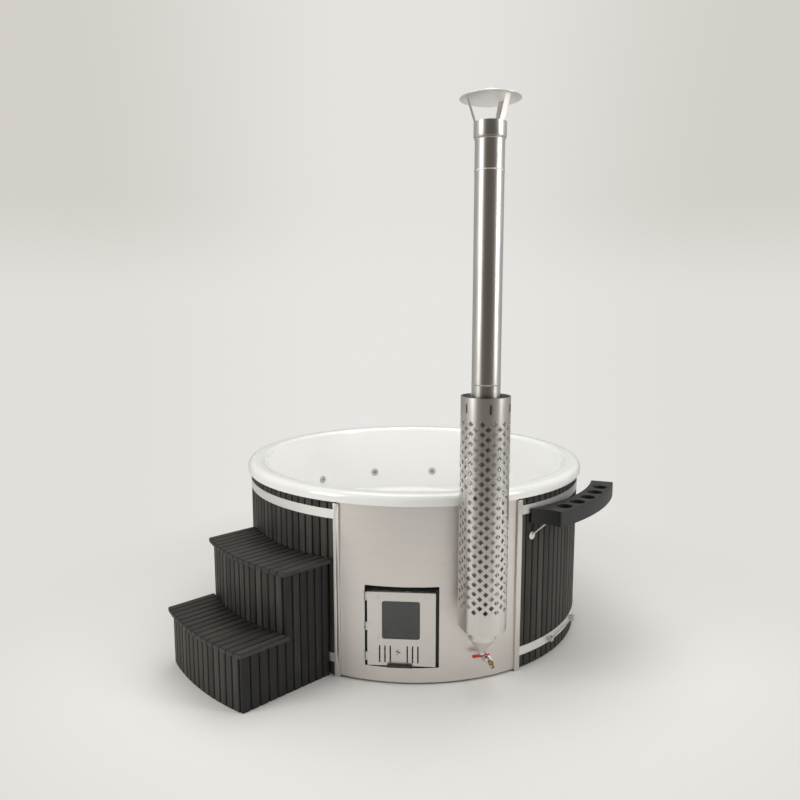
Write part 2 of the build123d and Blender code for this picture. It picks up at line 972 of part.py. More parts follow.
cap_fall = (cap_apex - cap_rim_height) / cap_radius
strap_corner = hypot(strap_reach + strap_sheet, strap_width / 2)
strap_top = cap_apex - cap_sheet - cap_fall * strap_corner
strap_inner = sqrt((cap_collar_radius - pipe_wall - strap_gap) ** 2 - (strap_width / 2) ** 2) - strap_sheet
strap_planes = [
    Plane(
        origin=flue_plane.origin,
        x_dir=spot(1, bearing),
        z_dir=(cos(radians(bearing)), sin(radians(bearing)), 0),
    )
    for bearing in strap_bearings
]
with BuildPart() as cap_straps:
    with BuildSketch(*strap_planes):
        Polygon(
            (strap_inner, strap_foot - chimney_top),
            (strap_inner, -chimney_top),
            (strap_reach, -strap_top),
            (strap_reach + strap_sheet, -strap_top),
            (strap_inner + strap_sheet, -chimney_top),
            (strap_inner + strap_sheet, strap_foot - chimney_top),
            align=None,
        )
    extrude(amount=strap_width / 2, both=True)
save(cap_straps.part, "cap_straps")

with BuildPart() as rain_cap:
    revolve_at_flue([
        (0, cap_apex),
        (cap_radius, cap_rim_height),
        (cap_radius, cap_rim_height - cap_sheet),
        (0, cap_apex - cap_sheet),
    ])
save(rain_cap.part, "rain_cap")


# Pierced guard: a bent sheet up to the rim and a whole tube above it
guard_side = guard_radius * sin(radians(guard_bend_angle))
guard_bend = guard_radius * cos(radians(guard_bend_angle))
guard_inner = guard_radius - guard_sheet
flank_inner = guard_side - guard_sheet
flank_end = flue_axis_radius - sqrt((wall_radius + guard_wall_gap) ** 2 - flank_inner**2)


def guard_outline():
    Circle(guard_radius)
    Circle(guard_inner, mode=Mode.SUBTRACT)
    with Locations((0, -guard_bend)):
        Rectangle(
            3 * guard_radius,
            3 * guard_radius,
            align=(Align.CENTER, Align.MIN),
            mode=Mode.SUBTRACT,
        )
    for side in (-1, 1):
        with Locations((side * (guard_side - guard_sheet / 2), -guard_bend)):
            Rectangle(guard_sheet, guard_bend + flank_end, align=(Align.CENTER, Align.MIN))


def beside_flue(angle, height, distance):
    # A plane beside the chimney that looks out at an angle from straight outwards.
    bearing = flue_bearing + angle
    centre = flue_plane.origin
    out = spot(1, bearing)
    return Plane(
        origin=(centre.X + distance * out[0], centre.Y + distance * out[1], height),
        x_dir=(cos(radians(bearing)), sin(radians(bearing)), 0),
        z_dir=out,
    )


def hole_outline():
    Polygon(
        (hole_width / 2, 0),
        (0, hole_height / 2),
        (-hole_width / 2, 0),
        (0, -hole_height / 2),
        align=None,
    )


hole_column_angle = 360.0 / hole_columns
hole_column_step = radians(hole_column_angle) * guard_radius
hole_heights = [
    [hole_first + row * hole_pitch + phase * hole_pitch / 2 for row in range(hole_rows)]
    for phase in (1, 0)
]
front_hole_planes = [
    beside_flue(column * hole_column_angle + hole_turn, height, guard_inner)
    for column in range(-front_columns, front_columns + 1)
    for height in hole_heights[column % 2]
]
back_hole_planes = [
    beside_flue(column * hole_column_angle + hole_turn, height, guard_inner)
    for column in range(front_columns + 1, hole_columns - front_columns)
    for height in hole_heights[column % 2]
    if height > guard_tube_bottom + hole_height
]
flank_hole_planes = []
for column in range(flank_columns):
    hole_back = flank_first - guard_bend + column * hole_column_step
    for height in hole_heights[column % 2]:
        if height < guard_tube_bottom - hole_height and hole_back + hole_width / 2 < flank_end:
            middle = beside_flue(0, height, -hole_back)
            flank_hole_planes.append(Plane(middle.origin, x_dir=middle.z_dir, z_dir=middle.x_dir))
spacer_angles = [spacer_turn + 360.0 * k / spacer_count for k in range(spacer_count)]
with BuildPart() as heat_guard:
    with BuildSketch(flue_plane.offset(guard_bottom)):
        guard_outline()
    extrude(amount=guard_tube_bottom - guard_bottom)
    with BuildSketch(flue_plane.offset(guard_tube_bottom)):
        Circle(guard_radius)
        Circle(guard_inner, mode=Mode.SUBTRACT)
    extrude(amount=guard_top - guard_tube_bottom)
    with BuildSketch(*[beside_flue(angle, spacer_middle, guard_inner) for angle in spacer_angles]):
        Rectangle(slot_width, slot_height)
    extrude(amount=3 * guard_sheet, both=True, mode=Mode.SUBTRACT)
    with BuildSketch(*front_hole_planes):
        hole_outline()
    extrude(amount=3 * guard_sheet, both=True, mode=Mode.SUBTRACT, clean=False)
    with BuildSketch(*back_hole_planes):
        hole_outline()
    extrude(amount=3 * guard_sheet, both=True, mode=Mode.SUBTRACT, clean=False)
    with BuildSketch(*flank_hole_planes):
        hole_outline()
    extrude(amount=2 * guard_side, both=True, mode=Mode.SUBTRACT, clean=False)
save(heat_guard.part, "heat_guard")


# Spacers between the chimney and its guard
spacer_planes = [beside_flue(angle, spacer_middle, pipe_radius) for angle in spacer_angles]
with BuildPart() as guard_spacers:
    with BuildSketch(*spacer_planes):
        Rectangle(spacer_sheet, spacer_height)
    extrude(amount=sqrt(guard_inner**2 - (spacer_sheet / 2) ** 2) - pipe_radius)
    with BuildSketch(*spacer_planes):
        Rectangle(spacer_sheet, spacer_tab)
    extrude(amount=guard_radius + spacer_proud - pipe_radius)
save(guard_spacers.part, "guard_spacers")


# Stove door. In a door plane local X runs sideways, local Y up and local Z outwards.
def door_plane(depth):
    return facing(stove_bearing, depth, 0.0)


def door_rectangle(left, right, bottom, top, corner=0.0, mode=Mode.ADD):
    with Locations(((left + right) / 2, (bottom + top) / 2)):
        if corner > 0:
            RectangleRounded(right - left, top - bottom, corner, mode=mode)
        else:
            Rectangle(right - left, top - bottom, mode=mode)


def vent_outline(mode=Mode.ADD):
    for offset in vent_offsets:
        for side in (-1, 1):
            with Locations((vent_middle + side * offset, (vent_bottom + vent_top) / 2)):
                SlotOverall(vent_top - vent_bottom, vent_width, rotation=90, mode=mode)


sheet_back = door_face - door_sheet
slider_front = sheet_back - fit_gap
slider_back = slider_front - slider_sheet
slider_bottom = vent_bottom - slider_margin
slider_top = vent_top + slider_margin
guide_back = slider_back - fit_gap - slider_sheet
door_screw_spots = [
    (side * door_screw_x, height) for side in (-1, 1) for height in (door_screw_low, door_screw_high)
]
with BuildPart() as door_plate:
    with BuildSketch(door_plane(door_face)):
        door_rectangle(door_left, door_right, door_bottom, door_top, 2 * door_edge_round)
    extrude(amount=-door_depth)
    door_out = Axis((0, 0, 0), spot(1, stove_bearing))
    fillet(door_plate.faces().sort_by(door_out)[-1].edges(), radius=door_edge_round)
    with BuildSketch(door_plane(sheet_back)):
        door_rectangle(
            door_left + door_fold,
            door_right - door_fold,
            door_bottom + door_fold,
            door_top - door_fold,
        )
    extrude(amount=door_sheet - door_depth, mode=Mode.SUBTRACT)
    with BuildSketch(door_plane(door_face)):
        door_rectangle(window_left, window_right, window_bottom, window_top, window_round)
        vent_outline()
        with Locations((knob_middle + slider_travel / 2, knob_height)):
            SlotCenterToCenter(slider_travel, 2 * (knob_stem_radius + fit_gap))
        with Locations(*door_screw_spots):
            Circle(door_screw_radius + fit_gap)
    extrude(amount=-door_sheet, mode=Mode.SUBTRACT)
    guide_left = slider_left - fit_gap
    guide_right = slider_right + slider_travel + fit_gap
    with BuildSketch(door_plane(sheet_back)):
        lower_guide = slider_bottom - fit_gap
        upper_guide = slider_top + fit_gap
        door_rectangle(guide_left, guide_right, lower_guide - guide_height, lower_guide)
        door_rectangle(guide_left, guide_right, upper_guide, upper_guide + guide_height)
    extrude(amount=guide_back - sheet_back)
    with BuildSketch(door_plane(guide_back)):
        door_rectangle(guide_left, guide_right, lower_guide - guide_height, lower_guide + guide_lip)
        door_rectangle(guide_left, guide_right, upper_guide - guide_lip, upper_guide + guide_height)
    extrude(amount=slider_sheet)
save(door_plate.part, "door_plate")

with BuildPart() as door_glass:
    with BuildSketch(door_plane(sheet_back)):
        door_rectangle(
            window_left - glass_lap,
            window_right + glass_lap,
            window_bottom - glass_lap,
            window_top + glass_lap,
            glass_lap,
        )
    extrude(amount=-glass_thickness)
save(door_glass.part, "door_glass")

with BuildPart() as glass_clamp:
    with BuildSketch(door_plane(sheet_back - glass_thickness)):
        door_rectangle(-clamp_half_width, clamp_half_width, clamp_bottom, clamp_top, glass_lap)
        door_rectangle(
            window_left + clamp_lap,
            window_right - clamp_lap,
            window_bottom + clamp_lap,
            window_top - clamp_lap,
            window_round,
            Mode.SUBTRACT,
        )
        with Locations(*door_screw_spots):
            Circle(door_screw_radius + fit_gap, mode=Mode.SUBTRACT)
    extrude(amount=-clamp_sheet)
save(glass_clamp.part, "glass_clamp")

with BuildPart() as door_screws:
    with BuildSketch(door_plane(door_face)):
        with Locations(*door_screw_spots):
            Circle(screw_head_radius)
    extrude(amount=screw_head_height)
    with BuildSketch(door_plane(door_face)):
        with Locations(*door_screw_spots):
            Circle(door_screw_radius)
    extrude(amount=-door_screw_length)
save(door_screws.part, "door_screws")

with BuildPart() as air_slider:
    with BuildSketch(door_plane(slider_front)):
        door_rectangle(slider_left, slider_right, slider_bottom, slider_top)
        vent_outline(Mode.SUBTRACT)
    extrude(amount=-slider_sheet)
save(air_slider.part, "air_slider")

with BuildPart() as slider_knob:
    with BuildSketch(door_plane(slider_front)):
        with Locations((knob_middle, knob_height)):
            Circle(knob_stem_radius)
    extrude(amount=door_sheet + 3 * fit_gap)
    with BuildSketch(door_plane(door_face + fit_gap)):
        with Locations((knob_middle, knob_height)):
            Circle(knob_radius)
    extrude(amount=knob_length)
save(slider_knob.part, "slider_knob")

with BuildPart() as door_back_plate:
    with BuildSketch(door_plane(back_face)):
        door_rectangle(
            door_left + door_fold,
            door_right - door_fold,
            door_bottom + door_fold,
            door_top - door_fold,
        )
        door_rectangle(
            window_left,
            window_right,
            window_bottom,
            window_top,
            window_round,
            Mode.SUBTRACT,
        )
        door_rectangle(
            vent_middle - air_opening / 2,
            vent_middle + air_opening / 2,
            vent_bottom,
            vent_top,
            0.0,
            Mode.SUBTRACT,
        )
    extrude(amount=-back_sheet)
save(door_back_plate.part, "door_back_plate")

with BuildPart() as door_seal:
    with BuildSketch(door_plane(back_face - back_sheet)):
        door_rectangle(seal_left, seal_right, seal_bottom, seal_top, 2 * seal_width)
        door_rectangle(
            seal_left + seal_width,
            seal_right - seal_width,
            seal_bottom + seal_width,
            seal_top - seal_width,
            seal_width,
            Mode.SUBTRACT,
        )
    extrude(amount=flange_face + fit_gap - back_face + back_sheet)
save(door_seal.part, "door_seal")

with BuildPart() as door_pull:
    with BuildSketch(door_plane(door_face)):
        with Locations((pull_middle, pull_bottom + pull_height / 2)):
            RectangleRounded(pull_width, pull_height, pull_height / 4)
    extrude(amount=pull_depth)
save(door_pull.part, "door_pull")


# Door hinge: two fixed knuckles and one moving knuckle at each height
hinge_x = door_left - hinge_offset
knuckle_pitch = knuckle_length + fit_gap
leaf_height = 3 * knuckle_length + 2 * fit_gap
frame_leaf_radians = radians(frame_leaf_angle)


def hinge_plane(height):
    origin = stove_front.from_local_coords((hinge_x, -door_face, height))
    return Plane(origin=origin, x_dir=stove_front.x_dir, z_dir=(0, 0, 1))


def on_frame_leaf(along, out):
    # A point beside the hinge, measured on the flat leaf that lies on the panel.
    reach = wall_radius + out
    return (
        reach * sin(frame_leaf_radians) + along * cos(frame_leaf_radians) - hinge_x,
        door_face - reach * cos(frame_leaf_radians) + along * sin(frame_leaf_radians),
    )


with BuildPart() as door_knuckles:
    with BuildSketch(*[hinge_plane(height - knuckle_length / 2) for height in hinge_heights]):
        Circle(knuckle_radius)
        Rectangle(leaf_width / 2, leaf_thickness, align=(Align.MIN, Align.MAX))
        Circle(pin_radius + pin_clear, mode=Mode.SUBTRACT)
    extrude(amount=knuckle_length)
    with BuildSketch(*[hinge_plane(height - leaf_height / 2) for height in hinge_heights]):
        with Locations((hinge_offset + fit_gap, 0)):
            Rectangle(leaf_width - hinge_offset, leaf_thickness, align=(Align.MIN, Align.MAX))
    extrude(amount=leaf_height)
save(door_knuckles.part, "door_knuckles")

with BuildPart() as frame_knuckles:
    with BuildSketch(
        *[
            hinge_plane(height + side * knuckle_pitch - knuckle_length / 2)
            for height in hinge_heights
            for side in (-1, 1)
        ]
    ):
        Circle(knuckle_radius)
        Polygon(
            on_frame_leaf(frame_leaf_width / 2, 0),
            (0, knuckle_radius),
            (-knuckle_radius, 0),
            on_frame_leaf(frame_leaf_width / 3, leaf_thickness),
            align=None,
        )
        Circle(pin_radius, mode=Mode.SUBTRACT)
    extrude(amount=knuckle_length)
    with BuildSketch(*[hinge_plane(height - leaf_height / 2) for height in hinge_heights]):
        Polygon(
            on_frame_leaf(-frame_leaf_width / 2, 0),
            on_frame_leaf(frame_leaf_width / 2, 0),
            on_frame_leaf(frame_leaf_width / 2, leaf_thickness),
            on_frame_leaf(-frame_leaf_width / 2, leaf_thickness),
            align=None,
        )
    extrude(amount=leaf_height)
save(frame_knuckles.part, "frame_knuckles")

pin_length = leaf_height + 2 * pin_proud
with BuildPart() as hinge_pins:
    with BuildSketch(*[hinge_plane(height - pin_length / 2) for height in hinge_heights]):
        Circle(pin_radius)
    extrude(amount=pin_length)
save(hinge_pins.part, "hinge_pins")


# Drain in the well floor
valve_middle = valve_back + valve_end_length + valve_barrel_length / 2
with BuildPart() as drain_fitting:
    with BuildSketch(Plane.XY.offset(drain_body_bottom)):
        Circle(drain_body_radius)
    extrude(amount=well_floor - drain_body_bottom)
    with BuildSketch(Plane.XY.offset(well_floor)):
        Circle(drain_flange_radius)
    extrude(amount=drain_flange_height)
    with BuildSketch(Plane.XY.offset(drain_body_bottom + drain_wall)):
        Circle(drain_body_radius - drain_wall)
    extrude(amount=well_floor, mode=Mode.SUBTRACT)
    with BuildSketch(Plane.XY.offset(well_floor + drain_flange_height)):
        Circle(grille_radius + fit_gap)
    extrude(amount=-grille_sheet, mode=Mode.SUBTRACT)
    with BuildSketch(facing(valve_bearing, 0.0, drain_height)):
        Circle(drain_pipe_radius + fit_gap)
    extrude(amount=2 * drain_body_radius, mode=Mode.SUBTRACT)
save(drain_fitting.part, "drain_fitting")

with BuildPart() as drain_grille:
    with BuildSketch(Plane.XY.offset(well_floor + drain_flange_height)):
        Circle(grille_radius)
        with GridLocations(0, 2 * grille_slot, 1, grille_slots):
            SlotOverall(grille_radius, grille_slot, mode=Mode.SUBTRACT)
    extrude(amount=-grille_sheet)
save(drain_grille.part, "drain_grille")

with BuildPart() as drain_pipe:
    with BuildSketch(facing(valve_bearing, drain_pipe_start, drain_height)):
        Circle(drain_pipe_radius)
        Circle(drain_pipe_bore, mode=Mode.SUBTRACT)
    extrude(amount=valve_back - drain_pipe_start)
save(drain_pipe.part, "drain_pipe")


# Drain valve: body, ball with its stem, lever and outlet
valve_plane = turned(valve_bearing, drain_height, valve_middle)
valve_length = 2 * valve_end_length + valve_barrel_length
with BuildPart() as valve_body:
    with BuildSketch(facing(valve_bearing, valve_back, drain_height)):
        Circle(valve_end_radius)
    extrude(amount=valve_length)
    with BuildSketch(facing(valve_bearing, valve_back + valve_end_length, drain_height)):
        Circle(valve_barrel_radius)
    extrude(amount=valve_barrel_length)
    with BuildSketch(valve_plane):
        Circle(boss_radius)
    extrude(amount=boss_top - drain_height)
    with BuildSketch(facing(valve_bearing, valve_back, drain_height)):
        Circle(ball_bore)
    extrude(amount=valve_length, mode=Mode.SUBTRACT)
    with Locations(valve_plane):
        Sphere(ball_radius + ball_clear, mode=Mode.SUBTRACT)
    with BuildSketch(valve_plane):
        Circle(stem_radius + stem_clear)
    extrude(amount=boss_top - drain_height, mode=Mode.SUBTRACT)
save(valve_body.part, "valve_body")

stem_start = sqrt(ball_radius**2 - stem_radius**2) - stem_sink
with BuildPart() as valve_ball:
    with Locations(valve_plane):
        Sphere(ball_radius)
    with BuildSketch(Plane(valve_plane.origin, x_dir=(0, 0, 1), z_dir=valve_plane.x_dir)):
        Circle(ball_bore)
    extrude(amount=2 * ball_radius, both=True, mode=Mode.SUBTRACT)
    with BuildSketch(valve_plane.offset(stem_start)):
        Circle(stem_radius)
    extrude(amount=stem_top - drain_height - stem_start)
save(valve_ball.part, "valve_ball")

lever_plane = turned(valve_bearing, lever_bottom, valve_middle)
with BuildPart() as valve_lever:
    with BuildSketch(lever_plane):
        with Locations((lever_tail, 0)):
            Rectangle(lever_tail + lever_length, lever_width, align=(Align.MAX, Align.CENTER))
    extrude(amount=lever_sheet)
    fillet(valve_lever.edges().filter_by(Axis.Z), radius=lever_tail / 2)
    with BuildSketch(lever_plane.offset((lever_sheet - grip_height) / 2)):
        with Locations((-lever_length, 0)):
            Rectangle(lever_grip, grip_width, align=(Align.MIN, Align.CENTER))
    extrude(amount=grip_height)
    with BuildSketch(lever_plane):
        Circle(stem_radius)
    extrude(amount=lever_sheet, mode=Mode.SUBTRACT)
save(valve_lever.part, "valve_lever")

outlet_tilt_radians = radians(outlet_tilt)
outlet_bend_depth = 2 * outlet_nut_length / 3
outlet_back = valve_back + valve_length
bend_spot = spot(outlet_back + outlet_bend_depth, valve_bearing, drain_height)
outlet_plane = Plane(
    origin=bend_spot,
    x_dir=(cos(radians(valve_bearing)), sin(radians(valve_bearing)), 0),
    z_dir=(
        cos(outlet_tilt_radians) * sin(radians(valve_bearing)),
        -cos(outlet_tilt_radians) * cos(radians(valve_bearing)),
        -sin(outlet_tilt_radians),
    ),
)
with BuildPart() as valve_outlet:
    with BuildSketch(facing(valve_bearing, outlet_back, drain_height)):
        RegularPolygon(outlet_nut_radius, 6)
    extrude(amount=outlet_nut_length)
    with BuildSketch(outlet_plane):
        Circle(outlet_neck_radius)
    extrude(amount=outlet_neck_length)
    with BuildSketch(outlet_plane.offset(outlet_neck_length)):
        Circle(outlet_radius)
    extrude(amount=outlet_length - outlet_neck_length)
    with BuildSketch(facing(valve_bearing, outlet_back, drain_height)):
        Circle(outlet_nut_bore)
    extrude(amount=outlet_bend_depth, mode=Mode.SUBTRACT)
    with BuildSketch(outlet_plane.offset(-outlet_bore_lead)):
        Circle(outlet_bore)
    extrude(amount=outlet_bore_lead + outlet_length, mode=Mode.SUBTRACT)
save(valve_outlet.part, "valve_outlet")


# Air nozzles, the ring pipe that feeds them and the blower
with BuildPart() as air_nozzles:
    with BuildSketch(*[plane.offset(nozzle_stand) for plane in nozzle_planes]):
        Circle(nozzle_flange_radius)
        Circle(nozzle_bore, mode=Mode.SUBTRACT)
    extrude(amount=nozzle_flange_height)
    with BuildSketch(*[plane.offset(nozzle_stand) for plane in nozzle_planes]):
        Circle(nozzle_tail_radius)
        Circle(nozzle_tail_bore, mode=Mode.SUBTRACT)
    extrude(amount=-nozzle_tail_length)
save(air_nozzles.part, "air_nozzles")

ring_radius = wall_inner(nozzle_height) + ring_distance * cos(radians(wall_tilt))
ring_height = nozzle_height - ring_distance * sin(radians(wall_tilt))
with BuildPart() as air_ring_pipe:
    with BuildSketch(Plane.XZ):
        with Locations((ring_radius, ring_height)):
            Circle(ring_pipe_radius)
    revolve(axis=Axis.Z)
    with BuildSketch(*[plane.offset(-stub_start) for plane in nozzle_planes]):
        Circle(stub_radius)
    extrude(amount=stub_start - ring_distance)
    with BuildSketch(turned(180, down_pipe_bottom, ring_radius)):
        Circle(ring_pipe_radius)
    extrude(amount=ring_height - down_pipe_bottom)
    with BuildSketch(Plane.XZ):
        with Locations((ring_radius, ring_height)):
            Circle(ring_pipe_radius - air_pipe_wall)
    revolve(axis=Axis.Z, mode=Mode.SUBTRACT)
    with BuildSketch(*[plane.offset(-stub_start) for plane in nozzle_planes]):
        Circle(stub_radius - air_pipe_wall)
    extrude(amount=stub_start - ring_distance, mode=Mode.SUBTRACT)
    with BuildSketch(turned(180, down_pipe_bottom + air_pipe_wall, ring_radius)):
        Circle(ring_pipe_radius - air_pipe_wall)
    extrude(amount=ring_height - down_pipe_bottom, mode=Mode.SUBTRACT)
    with BuildSketch(facing(180, ring_radius - 2 * ring_pipe_radius, blower_port_height)):
        Circle(blower_port_radius + fit_gap)
    extrude(amount=2 * ring_pipe_radius, mode=Mode.SUBTRACT)
save(air_ring_pipe.part, "air_ring_pipe")

with BuildPart() as air_blower:
    with BuildSketch(turned(180, board_top, blower_centre)):
        Circle(blower_radius)
    extrude(amount=blower_height)
    with BuildSketch(facing(180, blower_centre, blower_port_height)):
        Circle(blower_port_radius)
    extrude(amount=ring_radius - ring_pipe_radius / 2 - blower_centre)
save(air_blower.part, "air_blower")


# Steps: treads of boards along the way up, curved at the front like the tub's wall
def tread_outline(front_radius, back_radius, board_pitch):
    with Locations((0, -front_radius)):
        with GridLocations(board_pitch, 0, tread_boards, 1):
            Rectangle(
                board_pitch - step_gap,
                front_radius - wall_radius + 3 * riser_width,
                align=(Align.CENTER, Align.MIN),
            )
    Circle(front_radius, mode=Mode.INTERSECT)
    Circle(back_radius, mode=Mode.SUBTRACT)


side_face = tread_half_width - tread_overhang
side_inner = side_face - step_board
lower_riser_face = lower_tread_radius - tread_overhang
upper_riser_face = upper_tread_radius - tread_overhang
lower_tread_bottom = lower_tread_top - tread_thickness
upper_tread_bottom = upper_tread_top - tread_thickness
tread_pitch = (2 * tread_half_width + step_gap) / tread_boards
riser_width = tread_pitch
wall_reach = band_outer + step_wall_gap
with BuildPart() as step_treads:
    with BuildSketch(turned(step_bearing, lower_tread_bottom)):
        tread_outline(lower_tread_radius, upper_riser_face + fit_gap, tread_pitch)
    extrude(amount=tread_thickness)
    with BuildSketch(turned(step_bearing, upper_tread_bottom)):
        tread_outline(upper_tread_radius, wall_reach, tread_pitch)
    extrude(amount=tread_thickness)
save(step_treads.part, "step_treads")


def riser_planes(face, bottom):
    # Flat boards side by side along a curved riser.
    half_angle = degrees(asin(side_inner / face))
    turn = 2 * half_angle / riser_boards
    first = step_bearing - half_angle + turn / 2
    return [facing(first + k * turn, face - step_board / 2, bottom) for k in range(riser_boards)]


def riser_board_width(face):
    return 2 * face * tan(asin(side_inner / face) / riser_boards) - step_gap


with BuildPart() as step_risers:
    with BuildSketch(*riser_planes(lower_riser_face, 0.0)):
        Rectangle(riser_board_width(lower_riser_face), lower_tread_bottom, align=(Align.CENTER, Align.MIN))
    extrude(amount=step_board / 2, both=True)
    with BuildSketch(*riser_planes(upper_riser_face, lower_tread_bottom)):
        Rectangle(
            riser_board_width(upper_riser_face),
            upper_tread_bottom - lower_tread_bottom,
            align=(Align.CENTER, Align.MIN),
        )
    extrude(amount=step_board / 2, both=True)
save(step_risers.part, "step_risers")

front_end = sqrt(lower_riser_face**2 - side_face**2)
middle_end = sqrt(upper_riser_face**2 - side_face**2)
back_end = sqrt(wall_reach**2 - side_inner**2)


def side_boards(near, far, count):
    board_pitch = (far - near + step_gap) / count
    for side in (-1, 1):
        with Locations((side * (side_face - step_board / 2), -(near + far) / 2)):
            with GridLocations(0, board_pitch, 1, count):
                Rectangle(step_board, board_pitch - step_gap)


with BuildPart() as step_sides:
    with BuildSketch(turned(step_bearing)):
        side_boards(middle_end + step_gap, front_end, front_side_boards)
    extrude(amount=lower_tread_bottom)
    with BuildSketch(turned(step_bearing)):
        side_boards(back_end, middle_end, rear_side_boards)
    extrude(amount=upper_tread_bottom)
save(step_sides.part, "step_sides")

front_rail_back = sqrt((lower_riser_face - step_board) ** 2 - side_inner**2) - timber
middle_rail_back = sqrt((upper_riser_face - step_board) ** 2 - side_inner**2) - timber
rear_rail_front = wall_reach + timber


def cross_rail(back, front_radius):
    with Locations((0, -back)):
        Rectangle(2 * side_inner, 4 * timber, align=(Align.CENTER, Align.MAX))
    Circle(front_radius, mode=Mode.INTERSECT)


def step_posts(back):
    for side in (-1, 1):
        with Locations((side * (side_inner - timber / 2), -back)):
            Rectangle(timber, timber, align=(Align.CENTER, Align.MAX))


lower_riser_back = lower_riser_face - step_board - fit_gap
upper_riser_back = upper_riser_face - step_board - fit_gap
with BuildPart() as step_frame:
    with BuildSketch(turned(step_bearing)):
        cross_rail(front_rail_back, lower_riser_back)
    extrude(amount=timber)
    with BuildSketch(turned(step_bearing, lower_tread_bottom - timber)):
        cross_rail(front_rail_back, lower_riser_back)
    extrude(amount=timber)
    with BuildSketch(turned(step_bearing, lower_tread_bottom - timber)):
        cross_rail(middle_rail_back, upper_riser_face + timber)
    extrude(amount=timber)
    with BuildSketch(turned(step_bearing, upper_tread_bottom - timber)):
        cross_rail(middle_rail_back, upper_riser_back)
    extrude(amount=timber)
    with BuildSketch(turned(step_bearing, upper_tread_bottom - timber)):
        with Locations((0, -rear_rail_front)):
            Rectangle(2 * side_inner, 3 * timber, align=(Align.CENTER, Align.MIN))
        Circle(wall_reach, mode=Mode.SUBTRACT)
    extrude(amount=timber)
    with BuildSketch(turned(step_bearing)):
        step_posts(front_rail_back)
    extrude(amount=lower_tread_bottom)
    with BuildSketch(turned(step_bearing)):
        step_posts(middle_rail_back)
        step_posts(rear_rail_front - timber)
    extrude(amount=upper_tread_bottom)
    with BuildSketch(turned(step_bearing)):
        for side in (-1, 1):
            with Locations((side * (side_inner - timber / 2), -front_rail_back)):
                Rectangle(timber, front_rail_back - rear_rail_front, align=(Align.CENTER, Align.MIN))
    extrude(amount=timber)
save(step_frame.part, "step_frame")


# Cup shelf and its struts
def flat_spot(place):
    return spot(place[0], place[1])[:2]


shelf_bottom = shelf_top - shelf_thickness
pocket_spots = [
    flat_spot((
        pocket_first[0] + (pocket_last[0] - pocket_first[0]) * k / (pocket_count - 1),
        pocket_first[1] + (pocket_last[1] - pocket_first[1]) * k / (pocket_count - 1),
    ))
    for k in range(pocket_count)
]
inner_spots = [flat_spot(place) for place in shelf_inner]
outer_spots = [flat_spot(place) for place in shelf_outer]
with BuildPart() as cup_holder:
    with BuildSketch(Plane.XY.offset(shelf_bottom)):
        with BuildLine():
            ThreePointArc(*inner_spots)
            Line(inner_spots[2], outer_spots[2])
            ThreePointArc(*reversed(outer_spots))
            ThreePointArc(outer_spots[0], flat_spot(shelf_flare), inner_spots[0])
        make_face()
    extrude(amount=shelf_thickness)
    fillet(cup_holder.edges().filter_by(Axis.Z), radius=shelf_corner_round)
    with BuildSketch(Plane.XY.offset(shelf_top)):
        with Locations(*pocket_spots):
            Circle(pocket_radius)
    extrude(amount=-pocket_depth, mode=Mode.SUBTRACT)
    fillet(cup_holder.faces().sort_by(Axis.Z)[-1].edges(), radius=shelf_edge_round)
    with BuildSketch(Plane.XY.offset(shelf_bottom)):
        with Locations(*pocket_spots):
            Circle(pocket_drain)
    extrude(amount=shelf_thickness, mode=Mode.SUBTRACT)
save(cup_holder.part, "cup_holder")

strut_foot_back = slat_corner + fit_gap
strut_starts = [
    Vector(*spot(strut_foot_back + strut_foot_thickness / 2, bearing, strut_foot_height))
    for bearing in strut_foot_bearings
]
strut_ends = [Vector(*spot(head[0], head[1], shelf_bottom)) for head in strut_heads]
with BuildPart() as cup_holder_struts:
    with BuildSketch(
        *[facing(bearing, strut_foot_back, strut_foot_height) for bearing in strut_foot_bearings]
    ):
        Circle(strut_foot_radius)
    extrude(amount=strut_foot_thickness)
    with BuildSketch(*[Plane(start, z_dir=end - start) for start, end in zip(strut_starts, strut_ends)]):
        Circle(strut_rod_radius)
    extrude(amount=2 * (strut_heads[1][0] - wall_radius))
    split(bisect_by=Plane.XY.offset(shelf_bottom), keep=Keep.BOTTOM)
save(cup_holder_struts.part, "cup_holder_struts")
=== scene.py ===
import json
import math

import bpy
from mathutils import Matrix, Vector


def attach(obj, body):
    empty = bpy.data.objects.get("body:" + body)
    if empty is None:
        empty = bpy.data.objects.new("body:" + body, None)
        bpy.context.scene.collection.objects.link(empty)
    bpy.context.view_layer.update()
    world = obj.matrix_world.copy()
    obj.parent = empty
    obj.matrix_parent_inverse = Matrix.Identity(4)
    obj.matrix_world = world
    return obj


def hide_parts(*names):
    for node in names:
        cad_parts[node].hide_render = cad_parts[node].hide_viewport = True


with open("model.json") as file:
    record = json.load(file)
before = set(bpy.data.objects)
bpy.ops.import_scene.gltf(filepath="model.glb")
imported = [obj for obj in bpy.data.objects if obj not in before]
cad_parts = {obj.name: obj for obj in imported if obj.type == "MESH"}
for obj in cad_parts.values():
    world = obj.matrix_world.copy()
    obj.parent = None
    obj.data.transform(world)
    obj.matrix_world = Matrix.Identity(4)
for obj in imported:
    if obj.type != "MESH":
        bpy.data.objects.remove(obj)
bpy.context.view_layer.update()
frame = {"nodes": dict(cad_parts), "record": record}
cadNodes = frame["nodes"]
print("frame loaded")

# A bearing is measured from the front (-Y) and grows towards +X
tub = {"wallRadius": 1.0, "stoveBearing": -8.2, "flueBearing": 13.0, "stepBearing": -50.2}


def spot(radius, bearing, height=0.0):
    turn = math.radians(bearing)
    return Vector((radius * math.sin(turn), -radius * math.cos(turn), height))


